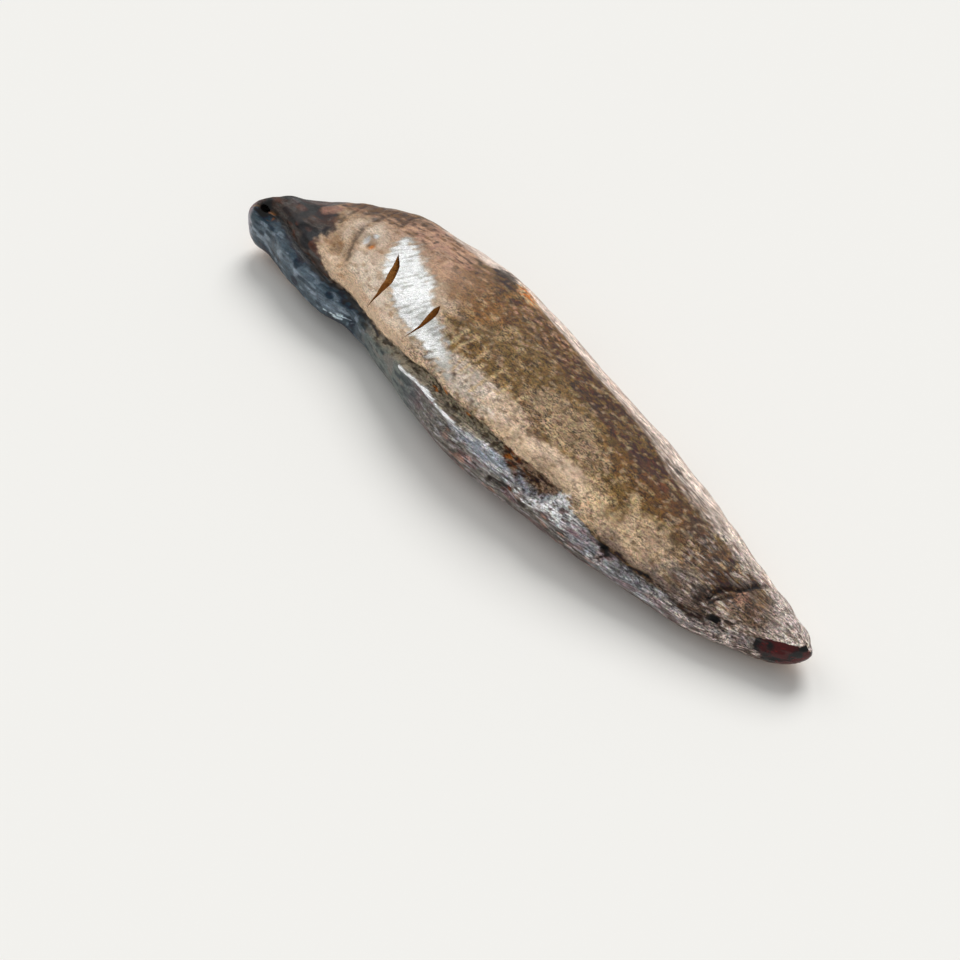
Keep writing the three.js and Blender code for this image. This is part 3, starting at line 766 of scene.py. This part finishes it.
def paint_seam(paint, seam, near):
    """Painted shade along the seam above the band and in the hollow, a painted highlight along the lip, and
    painted shade in the small cracks beside it.
    """
    s = paint.skin
    # Painted shade in the groove along the seam: slate dark towards the head, grey further back, with dark
    # specks and a dark line down its middle
    dark = step(seam + 1.4 * paint.edge, -2.6, -0.6) * step(seam + 1.6 * paint.edge, 2.0, 0.4) * near
    paint.over("slate_dark", dark * s.span(2, 58, 8), 0.85)
    paint.over("hollow_grey", dark * s.span(50, 78, 8), 0.8)
    paint.mottle("slate", dark * s.span(2, 56, 4), 1.8, 0.9, 0.1, 107, 0.7)
    paint.mottle("seam", dark * s.span(46, 80, 6), 1.8, 0.9, 0.1, 108, 0.8)
    paint.over("seam", bell((seam + 0.1 + 1.0 * paint.torn) / 0.8) * near * s.span(2, 62, 4), 0.75)
    # Painted shade in the hollow above the lip
    hollow = step(s.inside(HOLLOW_TOP, HOLLOW_FOOT) + 0.5 * paint.torn, -0.2, 0.5)
    paint.over("hollow_grey", hollow, 0.92)
    paint.mottle("seam", hollow, 2.0, 0.8, 0.1, 79, 0.75, soft=0.7)
    paint.mottle("seam", hollow, 0.9, 0.6, 0.2, 80, 0.7)
    for path in AMBER_SPOTS:
        paint.stroke("amber", path, 0.6, 0.6, 0.2, 0.8)
    # Painted highlight: a thin white line along the edges of the lip
    for path in LIP_EDGES:
        edge = step(s.trail(path) + 0.25 * paint.torn, 0.42, 0.1)
        paint.over("lip", edge, 0.9)
        paint.finish(edge, rough=0.22, silver=0.5, grain=0.1)
    # Painted shade in the small cracks of the tail half and in the slot of the band
    for path in TAIL_SEAMS:
        paint.over("seam", step(s.trail(path) + 1.2 * paint.edge, 1.6, 0.3), 0.4)
        paint.stroke("seam", path, 1.0, 0.55, 0.0, 0.85)
    paint.stroke("seam", BAND_SLOT, 0.6, 0.9, 0.4, 0.85)
    paint.stroke("rust", BAND_SLOT[2:], 0.6, 0.7, 0.3, 0.35)
    paint.dab("seam", 124.3, 2.5, 1.4, 0.8, 0.8, ragged=0.9)


def paint_head(paint):
    """The dark, leathery head end with painted shade in its wrinkles, its rim, and painted shade round its
    hole.
    """
    s = paint.skin
    head = step(s.beside(SEAM), 0.2, 0.8) * step(s.v, 11.5, 11) * step(s.v, 2, 2.1)
    uneven = 3.5 * paint.edge + 1.5 * paint.torn + 7 * paint.wander * step(s.v, 8, 9)
    dark = step(s.x - along(HEAD_BORDER, s.v) + uneven, 1.4, -1.4) * head
    paint.over("head_dark", dark)
    paint.over("head_brown", dark * step(s.v + paint.edge, 4.8, 6.0), 0.8)
    paint.mottles(
        ("head_grey", dark * step(s.v, 5.4, 4.8), 3, 1.6, 0.05, 91, 0.5),
        ("head_rust", dark * step(s.v, 4.6, 5.6), 3, 2.0, 0.05, 92, 0.7),
        ("head_grey", dark, 1.4, 0.9, 0.3, 97, 0.4),
        ("soot_and_shade", dark, 3, 1.6, 0.12, 93, 0.7),
        ("slate_dark", dark * s.span(14, 32, 5), 4, 2.4, 0.1, 94, 0.6),
        ("head_rust", dark * step(s.v, 4.8, 4.2), 2, 1.2, 0.3, 95, 0.6),
    )
    paint.finish(dark, rough=0.4, grain=0.5, streak=0)
    paint.dab("rose", 22.5, 6.0, 3.0, 2.4, 0.6, ragged=0.8)
    # Painted shade in the head's creases, brown beside them and dark along them
    for path in HEAD_CREASES:
        paint.over("brown", step(s.trail(path) + 1.0 * paint.edge, 2.6, 1.0), 0.4)
        paint.stroke("soot_and_shade", path, 1.2, 0.9, 0.1, 0.6)
    paint.dab("brown", 33.2, 4.4, 1.6, 2.2, 0.5, ragged=0.8)
    rim = step(s.x + 1.6 * paint.edge + 0.6 * paint.torn, 4.4, 1.6) * step(s.v, 11.5, 11)
    paint.over("head_rim", rim, 0.7)
    paint.over("slate_pale", rim * step(s.v, 4, 3), 0.4)
    # Painted shade round the hole in the head end
    paint.over("soot_and_shade", s.spot(6.2, 4.5, 2.4, 4.2), 1.6)
    paint.mottle("amber", s.spot(8.6, 3.9, 2.0, 1.6), 1.5, 1, -0.3, 96, 0.8)


def paint_pit(paint):
    """The torn pit beside the seam and the painted highlight on the ledge at its tail side."""
    s = paint.skin
    pit = step(s.inside(PIT_TOP, PIT_FOOT) + 0.5 * paint.torn, -0.3, 0.2)
    paint.over("pit", pit)
    above_foot = s.arc - s.arc_of(along(PIT_FOOT, s.xs))
    low = pit * step(above_foot + 1.2 * paint.edge, 3.2, 1.6) * step(s.x, 117, 121)
    paint.over("band_blue", low, 0.8)
    rusty = pit * step(s.x + 4 * paint.edge, 124, 117) * (1 - low)
    paint.mottles(
        ("soot_and_shade", pit, 1.4, 0.8, 0.1, 101, 0.75),
        ("soot_and_shade", pit, 0.8, 0.6, 0.15, 102, 0.6),
        ("rust", rusty, 1.0, 0.7, 0.15, 105, 0.45),
    )
    paint.dab("amber", 115.6, 3.74, 1.0, 0.5, 0.6, ragged=0.8)
    paint.mottle("band_pale", low, 0.8, 0.6, 0.2, 103, 0.6)
    paint.finish(pit, rough=0.5, grain=1.0, streak=0)
    # Painted highlight on the ledge: grey, then silvery white flecks among dark specks
    shelf = step(s.trail(LEDGE_EDGE) + 0.7 * paint.torn, 1.2, 0.4)
    ledge = np.maximum(paint.patch(135, 3.5, 4.6, 3.0, ragged=0.7), shelf)
    paint.over("tail_grey", ledge, 0.5)
    paint.mottle("silver", ledge, 1.4, 0.6, -0.35, 104, 0.95)
    paint.mottle("seam", ledge, 0.9, 0.6, 0.25, 106, 0.7)
    paint.finish(ledge, rough=0.26, silver=0.7, grain=0.6)


def paint_tail(paint):
    """The grey, streaked tail end, with painted shadow before its crease and painted shade in its creases
    and its hole.
    """
    s = paint.skin
    end = step(s.x + 9 * paint.edge, 162, 176) * step(s.v, 12, 11.5) * step(s.v, 0.6, 1.0)
    face = end * step(s.beside(BEVEL_LINE) + paint.edge, 1, -1)
    paint.over("tail_grey", face * step(s.v + paint.edge, 5.2, 4.4), 0.6)
    paint.mottle("tail_pale", end, 4, 0.5, 0.2, 111, 0.5)
    paint.mottle("soot_and_shade", face, 3, 0.7, 0.2, 112, 0.6)
    paint.dab("tail_brown", 189, 5.2, 6, 4, 0.6, ragged=0.6)
    paint.dab("rose", 185.6, 5.2, 1.6, 1.4, 0.4, ragged=0.8)
    pale = end * step(s.x + 4 * paint.edge + 1.2 * (s.v - 5), 191, 198) * step(s.v, 3.4, 4.2)
    paint.over("tail_pale", pale, 0.95)
    paint.mottle("bevel_dark", pale, 4, 0.5, 0.15, 113, 0.8)
    paint.finish(end, rough=0.56, grain=1.0, streak=0.9)
    # Painted shadow before the tail crease, and painted shade along the crease and its wrinkles
    above = step(s.x - along(CREASE_BORDER, s.v), 1.0, -1.0)
    paint.over("crease_shadow", step(s.trail(TAIL_CREASE) + 2 * paint.edge, 6.5, 1.0) * above * face, 0.75)
    paint.stroke("seam", TAIL_CREASE, 1.0, 0.75, 0.0, 0.8)
    for path in TAIL_WRINKLES:
        paint.stroke("seam", path, 1.0, 0.6, 0.0, 0.8)
    paint.mottle("tail_pale", paint.patch(186, 3.3, 4, 2.2), 1.2, 0.6, 0.1, 115, 0.7)
    # Painted shade in the hole of the tail, and two dark streaks beside it
    paint.dab("soot_and_shade", 183.2, 3.25, 1.7, 1.2, 1.0, ragged=0.7)
    paint.dab("soot_and_shade", 186.6, 3.5, 1.4, 0.6, 0.9, ragged=0.8)
    paint.dab("soot_and_shade", 176.5, 2.9, 3.0, 0.7, 0.6, ragged=0.9)


def paint_tip(paint):
    """The glassy, dark red tip of the tail."""
    s = paint.skin
    border = np.where(s.v > TIP_BORDER_BELOW[0], TIP_BORDER_BELOW[1], along(TIP_BORDER, s.v))
    tip = step(s.x - border + 1.6 * paint.edge + 1.8 * paint.torn, -0.4, 0.4)
    paint.over("tip_black", tip)
    paint.over("tip_red", tip * step(s.x + 1.5 * paint.edge, 194.5, 197.5), 0.8)
    paint.mottle("tip_black", tip, 3.0, 1.8, 0.05, 114, 0.7, soft=0.6)
    paint.mottle("tip_glint", tip, 1.0, 0.5, 0.5, 116, 0.35, soft=0.5)
    paint.finish(tip, rough=0.16, grain=0.2, silver=0, streak=0)


def painted(skin):
    """The whole painted surface, from the broad face to the small marks on top."""
    paint = Paint(skin)
    seam = skin.beside(SEAM)
    near = (skin.v < 6) | (skin.v > 12.5)
    paint_face(paint)
    paint_silver(paint)
    paint_dimple(paint)
    paint_far_side(paint)
    paint_cut_flesh(paint)
    paint_band(paint, seam, near)
    paint_seam(paint, seam, near)
    paint_head(paint)
    paint_pit(paint)
    paint_tail(paint)
    paint_tip(paint)
    return paint


# The two slits: path as x and place, width, depth, and lean, which is below 1 where the widest part
# is nearer the start. Then how a slit narrows, its steps, how far its cutter stands out of the skin,
# the share of the path over which its direction is taken, and the bowl of the hole in the head end
SLITS = [
    dict(path=[(49.6, 5.36), (52.4, 4.98), (54.3, 4.52), (53.9, 4.05), (51.9, 3.2)],
         width=2.5, depth=3.6, lean=0.8),
    dict(path=[(72.3, 5.12), (72.4, 4.84), (71.5, 4.45), (69, 3.76)], width=2.2, depth=3.2, lean=0.6),
]
SLIT_TAPER = 1.6
SLIT_STEPS = 40
SLIT_STANDING = 1.2
SLIT_LOOK = 0.08
HEAD_HOLE = dict(x=6.2, rib=4.3, along=1.5, across=1.0, depth=3.0)
HOLE_RINGS, HOLE_SIDES = 15, 24
SLIT_FLESH = dict(name="slit_flesh", colour=(0.46, 0.2, 0.045), rough=0.35)
# Inside the hole the flesh is nearly black: painted shade
HOLE_SHADE_FLESH = dict(name="hole_painted_shade", colour=(0.012, 0.008, 0.007), rough=0.5)
# Flesh inside a cut: share of the dark tone, fibre size, range used, and relief in millimetres
RAW_DARK = 0.55
RAW_FIBRE = (1.2, 0.5, 0.5)
RAW_RANGE = (0.35, 0.62, 0, 1)
RAW_RELIEF = 0.3
# Points nearer than this are the same, in millimetres, and sharper folds than this stay hard
SAME_POINT = 0.0001
SHARP_ANGLE = math.radians(55)
# A face whose corners lie further apart than this, in turns round the section, crosses the seam of
# the texture, and its corners below the other share go up by one turn
UV_JUMP = 0.6
UV_LOW = 0.3
FINISHES = ("grain", "rough", "silver", "streak")


def formed(skin):
    """The finished points of the grid, standing on the floor, still measured from the head's end."""
    points = skin.smooth + skin.normal * (solid_relief(skin) + fine_relief(skin))[..., None]
    points[..., 2] = np.maximum(points[..., 2], 0)
    return points


def between(skin, grid, x, v):
    """The value of a grid at any x and place, between its rings and places."""
    i = np.clip(np.searchsorted(skin.xs, x) - 1, 0, len(skin.xs) - 2)
    j = np.clip(np.searchsorted(skin.vs, v) - 1, 0, len(skin.vs) - 2)
    a = (x - skin.xs[i]) / (skin.xs[i + 1] - skin.xs[i])
    b = (v - skin.vs[j]) / (skin.vs[j + 1] - skin.vs[j])
    near = grid[i, j] * (1 - a) + grid[i + 1, j] * a
    far = grid[i, j + 1] * (1 - a) + grid[i + 1, j + 1] * a
    return near * (1 - b) + far * b


def closed_faces(rings, sides):
    """Faces of a closed skin over rings of points, with point 0 and the last point closing the ends."""
    def at(ring, k):
        return 1 + ring * sides + k % sides

    last = 1 + rings * sides
    faces = [(0, at(0, k), at(0, k + 1)) for k in range(sides)]
    for ring in range(rings - 1):
        faces += [(at(ring, k), at(ring + 1, k), at(ring + 1, k + 1), at(ring, k + 1)) for k in range(sides)]
    faces += [(last, at(rings - 1, k + 1), at(rings - 1, k)) for k in range(sides)]
    return faces


def mesh_object(name, points, faces, shift):
    """A new object in the scene from points in millimetres, moved into the part's frame."""
    mesh = bpy.data.meshes.new(name)
    mesh.from_pydata(((points + shift) * MM).tolist(), [], faces)
    obj = bpy.data.objects.new(name, mesh)
    bpy.context.scene.collection.objects.link(obj)
    return obj


def put_attributes(mesh, tone, numbers):
    """Store the colour and the finish of each point on the mesh."""
    colour = mesh.attributes.new("tone", "FLOAT_COLOR", "POINT")
    colour.data.foreach_set("color", np.concatenate([tone, np.ones((len(tone), 1))], 1).ravel())
    for name, values in numbers.items():
        mesh.attributes.new(name, "FLOAT", "POINT").data.foreach_set("value", np.asarray(values, float))


def slit_cutter(skin, points, slit, shift):
    """A wedge along the path of a slit: as wide as the slit at the skin, sharp at its depth."""
    legs = len(slit["path"]) - 1

    def at(u):
        k = min(int(u * legs), legs - 1)
        f = u * legs - k
        return [a + (b - a) * f for a, b in zip(slit["path"][k], slit["path"][k + 1])]

    def frame_at(u):
        centre = between(skin, points, *at(u))
        ahead = between(skin, points, *at(min(u + SLIT_LOOK, 1)))
        behind = between(skin, points, *at(max(u - SLIT_LOOK, 0)))
        up = between(skin, skin.normal, *at(u))
        side = np.cross(up, ahead - behind)
        return centre, up, side / np.linalg.norm(side)

    made = []
    for k in range(1, SLIT_STEPS):
        u = k / SLIT_STEPS
        centre, up, side = frame_at(u)
        share = math.sin(math.pi * u ** slit["lean"]) ** SLIT_TAPER
        half = slit["width"] / 2 * share * (1 + SLIT_STANDING / slit["depth"])
        crown = centre + up * SLIT_STANDING
        made += [crown - side * half, crown + side * half, centre - up * slit["depth"] * math.sqrt(share)]
    ends = [frame_at(u)[0] + frame_at(u)[1] * SLIT_STANDING / 2 for u in (0, 1)]
    corners = np.array([ends[0], *made, ends[1]])
    cutter = mesh_object("slit_cutter", corners, closed_faces(SLIT_STEPS - 1, 3), shift)
    cutter.data.materials.append(raw_flesh(**SLIT_FLESH))
    return cutter


def hole_cutter(skin, points, shift):
    """A small bowl for the hole in the head end, lined with nearly black flesh as painted shade."""
    hole = HEAD_HOLE
    centre = between(skin, points, hole["x"], hole["rib"])
    up = Vector(between(skin, skin.normal, hole["x"], hole["rib"]))
    turn = np.array(Vector((0, 0, 1)).rotation_difference(up).to_matrix())
    made = [(0, 0, 1)]
    for k in range(1, HOLE_RINGS + 1):
        slope = math.pi * k / (HOLE_RINGS + 1)
        wide = math.sin(slope)
        for n in range(HOLE_SIDES):
            angle = 2 * math.pi * n / HOLE_SIDES
            made.append((wide * math.cos(angle), wide * math.sin(angle), math.cos(slope)))
    made.append((0, 0, -1))
    corners = np.array(made) * (hole["along"], hole["across"], hole["depth"])
    faces = closed_faces(HOLE_RINGS, HOLE_SIDES)
    cutter = mesh_object("hole_cutter", corners @ turn.T + centre, faces, shift)
    cutter.data.materials.append(raw_flesh(**HOLE_SHADE_FLESH))
    return cutter


def points_of(mesh):
    """The points of a mesh as rows of x, y and z."""
    flat = np.empty(len(mesh.vertices) * 3)
    mesh.vertices.foreach_get("co", flat)
    return flat.reshape(-1, 3)


def carry_attributes(old, new):
    """Give each point that a cut has made the colour and finish of the nearest old point."""
    tree = KDTree(len(old.vertices))
    for k, point in enumerate(points_of(old)):
        tree.insert(point, k)
    tree.balance()
    for k, point in enumerate(points_of(new)):
        _, nearest, distance = tree.find(point)
        if distance > SAME_POINT * MM:
            new.attributes["tone"].data[k].color = old.attributes["tone"].data[nearest].color
            for name in FINISHES:
                new.attributes[name].data[k].value = old.attributes[name].data[nearest].value


def cut(piece, cutters):
    """Take the cutters out of the piece for good."""
    for cutter in cutters:
        modifier = piece.modifiers.new(cutter.name, "BOOLEAN")
        modifier.operation = "DIFFERENCE"
        modifier.solver = "MANIFOLD"
        modifier.material_mode = "TRANSFER"
        modifier.object = cutter
    graph = bpy.context.evaluated_depsgraph_get()
    solved = piece.evaluated_get(graph)
    mesh = bpy.data.meshes.new_from_object(solved, preserve_all_data_layers=True, depsgraph=graph)
    piece.modifiers.clear()
    old = piece.data
    carry_attributes(old, mesh)
    piece.data = mesh
    bpy.data.meshes.remove(old)
    for cutter in cutters:
        wedge = cutter.data
        bpy.data.objects.remove(cutter)
        bpy.data.meshes.remove(wedge)


def unwrap(mesh, skin):
    """Spread the skin flat: x along the texture, and the way round the section across it."""
    layer = mesh.uv_layers.new(name="OFBake")
    grid = np.stack([skin.x / LENGTH, skin.arc / skin.girth], -1).reshape(-1, 2)
    flat = np.concatenate([[(0, 0.5)], grid, [(1, 0.5)]])
    loops = np.empty(len(mesh.loops), int)
    mesh.loops.foreach_get("vertex_index", loops)
    spread = flat[loops]
    for face in mesh.polygons:
        row = spread[face.loop_start:face.loop_start + face.loop_total]
        if row[:, 1].max() - row[:, 1].min() > UV_JUMP:
            row[row[:, 1] < UV_LOW, 1] += 1
    layer.data.foreach_set("uv", spread.ravel())


def make_fillet():
    """The whole fillet: its skin over the grid with a point at each end, painted and then cut."""
    skin = Skin()
    points = formed(skin)
    paint = painted(skin)
    middle = (points[..., 1].min() + points[..., 1].max()) / 2
    shift = np.array([-LENGTH / 2, -middle, 0])
    rings, sides = skin.arc.shape
    end_ys, end_zs = sections(np.array([0.0, LENGTH]))
    tips = np.array([(x, y[0], z[0]) for x, y, z in zip((0, LENGTH), end_ys, end_zs)])
    corners = np.concatenate([tips[:1], points.reshape(-1, 3), tips[1:]])
    fillet = mesh_object("fillet_skin", corners, closed_faces(rings, sides), shift)

    def with_tips(grid):
        flat = grid.reshape(rings * sides, -1)
        return np.concatenate([grid[0].mean(0).reshape(1, -1), flat, grid[-1].mean(0).reshape(1, -1)])

    numbers = {name: with_tips(getattr(paint, name)[..., None])[:, 0] for name in FINISHES}
    put_attributes(fillet.data, with_tips(paint.albedo()), numbers)
    unwrap(fillet.data, skin)
    fillet.data.materials.append(cured_flesh())
    cutters = [slit_cutter(skin, points, slit, shift) for slit in SLITS]
    cutters.append(hole_cutter(skin, points, shift))
    cut(fillet, cutters)
    fillet.data.shade_smooth()
    fillet.data.set_sharp_from_angle(angle=SHARP_ANGLE)
    return fillet


# Sockets of the colour mix node: its factor, its two colours and its result
MIX_INPUTS = (0, 6, 7)
MIX_RESULT = 2
RANGE_INPUTS = ("Value", "From Min", "From Max", "To Min", "To Max")


class Nodes:
    """Short calls for building a material's nodes."""

    def __init__(self, name):
        self.material = bpy.data.materials.new(name)
        self.material.use_nodes = True
        self.tree = self.material.node_tree
        self.shader = self.tree.nodes["Principled BSDF"]

    def add(self, kind, settings=None, **inputs):
        """A new node with its settings made and its inputs fed."""
        node = self.tree.nodes.new(kind)
        for name, value in (settings or {}).items():
            setattr(node, name, value)
        for name, value in inputs.items():
            self.feed(node, name.replace("_", " "), value)
        return node

    def feed(self, node, socket, value):
        """Link a socket to another node's output, or set it to a value."""
        target = node.inputs[int(socket)] if str(socket).isdigit() else node.inputs[socket]
        if isinstance(value, bpy.types.NodeSocket):
            self.tree.links.new(value, target)
        else:
            target.default_value = value

    def attribute(self, name):
        """A value stored on the points of the mesh."""
        node = self.add("ShaderNodeAttribute", dict(attribute_name=name))
        return node.outputs["Color" if name == "tone" else "Fac"]

    def maths(self, operation, a, b=None, c=None):
        """The result of an operation on up to three numbers or outputs."""
        node = self.add("ShaderNodeMath", dict(operation=operation))
        for k, value in enumerate((a, b, c)):
            if value is not None:
                self.feed(node, k, value)
        return node.outputs[0]

    def mapped(self, *numbers):
        """A value carried from one range, low and high, into another and held there."""
        node = self.add("ShaderNodeMapRange", dict(clamp=True))
        for name, number in zip(RANGE_INPUTS, numbers):
            self.feed(node, name, number)
        return node.outputs[0]

    def stretched(self, size, turn=0.0):
        """Object coordinates in cells of the given size in millimetres, turned about the upright axis."""
        place = self.add("ShaderNodeTexCoord").outputs["Object"]
        if turn:
            spin = self.add("ShaderNodeMapping", Vector=place)
            spin.inputs["Rotation"].default_value = (0, 0, -turn)
            place = spin.outputs[0]
        scaled = self.add("ShaderNodeMapping", Vector=place)
        scaled.inputs["Scale"].default_value = [1 / (side * MM) for side in size]
        return scaled.outputs[0]

    def noise(self, size, detail=2.0, turn=0.0, roughness=0.55, output=0):
        """Noise in cells of the given size: its strength, or its colour with output=1."""
        node = self.add("ShaderNodeTexNoise", Vector=self.stretched(size, turn))
        node.inputs["Scale"].default_value = 1
        node.inputs["Detail"].default_value = detail
        node.inputs["Roughness"].default_value = roughness
        return node.outputs[output]

    def mix(self, kind, factor, a, b):
        """Two colours blended."""
        node = self.add("ShaderNodeMix", dict(data_type="RGBA", blend_type=kind))
        for k, value in zip(MIX_INPUTS, (factor, a, b)):
            self.feed(node, k, value)
        return node.outputs[MIX_RESULT]

    def lit(self, colour, brightness):
        """A colour made brighter or darker."""
        node = self.add("ShaderNodeVectorMath", dict(operation="SCALE"))
        self.feed(node, 0, colour)
        self.feed(node, 3, brightness)
        return node.outputs[0]


# The flesh's noises: cell size in millimetres, detail and roughness
FLESH_NOISE = dict(
    speckle=dict(size=(0.85, 0.4, 0.4), detail=3, roughness=0.85),
    patches=dict(size=(2.2, 1.2, 1.2), detail=3),
    crowd=dict(size=(5.0, 3.0, 3.0)),
    fibre=dict(size=(5.0, 0.45, 0.45), detail=3, roughness=0.6),
    ripple=dict(size=(3.0, 0.3, 0.6), turn=RIPPLE_TURN),
    blotch=dict(size=(2.4, 1.3, 1.3)),
    hues=dict(size=(1.1, 0.7, 0.7), detail=3, roughness=0.7, output=1),
)
# How each noise is stretched: from low and high, to low and high
FLESH_RANGE = dict(
    speckle=(0.43, 0.57, -0.75, 0.9), patches=(0.38, 0.62, -1, 1), crowd=(0.35, 0.65, 0.45, 1.1),
    fibre=(0.38, 0.62, -1, 1), ripple=(0.36, 0.62, 0.35, 1.0), blotch=(0.3, 0.7, -1, 1),
)
# Shares of the noises in brightness, hue, metal and roughness, the least brightness and roughness,
# and the noises' relief in millimetres
SPECKLE_SHARE = 0.9
PATCH_SHARE = 0.25
FIBRE_SHARE = 0.55
HUE_SHARE = 0.35
HUE_GAIN = 2.0
METAL_SHARE = 0.55
ROUGH_SHARE = 0.06
LEAST_BRIGHT = 0.1
LEAST_ROUGH = 0.06
SPECKLE_RELIEF = 0.2
FIBRE_RELIEF = 0.22
RIPPLE_RELIEF = 0.09
SPECULAR = 0.35


def cured_flesh():
    """Smoked fish: painted tone that holds painted highlights and shade, fine speckle and fibres, a silvery
    skin patch and a glassy tip.
    """
    n = Nodes("cured_fish")
    n.shader.inputs["Specular IOR Level"].default_value = SPECULAR
    tone, grain, rough, silver, streak = (n.attribute(k) for k in ("tone", *FINISHES))
    field = {name: n.noise(**values) for name, values in FLESH_NOISE.items()}
    level = {name: n.mapped(field[name], *limits) for name, limits in FLESH_RANGE.items()}
    fine = n.maths("MULTIPLY", level["speckle"], level["crowd"])
    spread = n.maths("MULTIPLY_ADD", level["patches"], PATCH_SHARE, n.maths("MULTIPLY", fine, SPECKLE_SHARE))
    bright = n.maths("MAXIMUM", n.maths("MULTIPLY_ADD", spread, grain, 1.0), LEAST_BRIGHT)
    strands = n.maths("MULTIPLY_ADD", n.maths("MULTIPLY", level["fibre"], streak), FIBRE_SHARE, 1.0)
    colour = n.lit(n.lit(tone, bright), strands)
    tint = n.mix("MIX", n.maths("MULTIPLY", grain, HUE_SHARE), (1, 1, 1, 1), n.lit(field["hues"], HUE_GAIN))
    n.feed(n.shader, "Base Color", n.mix("MULTIPLY", 1.0, colour, tint))
    shine = n.maths("MULTIPLY", silver, level["ripple"])
    n.feed(n.shader, "Metallic", n.maths("MULTIPLY", shine, METAL_SHARE))
    uneven = n.maths("MULTIPLY_ADD", level["blotch"], ROUGH_SHARE, rough)
    n.feed(n.shader, "Roughness", n.maths("MAXIMUM", uneven, LEAST_ROUGH))
    relief = n.maths("MULTIPLY", field["speckle"], n.maths("MULTIPLY", grain, SPECKLE_RELIEF))
    relief = n.maths("MULTIPLY_ADD", n.maths("MULTIPLY", field["fibre"], streak), FIBRE_RELIEF, relief)
    relief = n.maths("MULTIPLY_ADD", n.maths("MULTIPLY", field["ripple"], silver), RIPPLE_RELIEF, relief)
    bump = n.add("ShaderNodeBump", Height=relief, Distance=MM)
    bump.inputs["Strength"].default_value = 1.0
    n.feed(n.shader, "Normal", bump.outputs[0])
    return n.material


def raw_flesh(name, colour, rough):
    """Moist torn flesh inside a cut, uneven in tone."""
    n = Nodes(name)
    dark = [share * RAW_DARK for share in colour]
    fibre = n.noise(RAW_FIBRE, detail=3)
    n.feed(n.shader, "Base Color", n.mix("MIX", n.mapped(fibre, *RAW_RANGE), (*dark, 1), (*colour, 1)))
    n.shader.inputs["Roughness"].default_value = rough
    bump = n.add("ShaderNodeBump", Height=fibre, Distance=RAW_RELIEF * MM)
    n.feed(n.shader, "Normal", bump.outputs[0])
    return n.material


def make_floor():
    """A plain pale floor under the fillet."""
    half = FLOOR["half"]
    mesh = bpy.data.meshes.new("floor")
    corners = [(-half, -half, 0), (half, -half, 0), (half, half, 0), (-half, half, 0)]
    mesh.from_pydata(corners, [], [(0, 1, 2, 3)])
    floor = bpy.data.objects.new("floor", mesh)
    bpy.context.scene.collection.objects.link(floor)
    n = Nodes("pale_floor")
    n.shader.inputs["Base Color"].default_value = (*FLOOR["colour"], 1)
    n.shader.inputs["Roughness"].default_value = FLOOR["rough"]
    n.shader.inputs["Specular IOR Level"].default_value = 0
    mesh.materials.append(n.material)


def make_sun(name, azimuth, elevation, spread, strength):
    """A wide distant light."""
    light = bpy.data.lights.new(name, "SUN")
    light.energy = strength
    light.angle = math.radians(spread)
    sun = bpy.data.objects.new(name, light)
    sun.rotation_euler = toward(azimuth, elevation).to_track_quat("Z", "Y").to_euler()
    bpy.context.scene.collection.objects.link(sun)


def make_lights():
    """The two distant lights and the even sky."""
    make_sun("key", **KEY)
    make_sun("glint", **GLINT)
    world = bpy.data.worlds.new("studio")
    bpy.context.scene.world = world
    world.use_nodes = True
    back = world.node_tree.nodes["Background"]
    back.inputs["Color"].default_value = (1, 1, 1, 1)
    back.inputs["Strength"].default_value = SKY


def make_camera():
    """The photograph's view: from above the near side, past the tail end."""
    away = toward(CAMERA["azimuth"], CAMERA["elevation"])
    place = (Vector(CAMERA["target"]) * MM) + away * CAMERA["distance"] * MM
    data = bpy.data.cameras.new("camera")
    data.lens = CAMERA["lens"]
    data.sensor_width = CAMERA["sensor"]
    data.clip_start, data.clip_end = CLIP_RANGE
    camera = bpy.data.objects.new("camera", data)
    camera.matrix_world = Matrix.Translation(place) @ away.to_track_quat("Z", "Y").to_matrix().to_4x4()
    bpy.context.scene.collection.objects.link(camera)
    bpy.context.scene.camera = camera


bpy.context.scene.view_settings.view_transform = "Standard"
make_camera()
make_lights()
make_floor()
fillet = make_fillet()
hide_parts("fillet")
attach(fillet, "root")
bpy.context.view_layer.update()
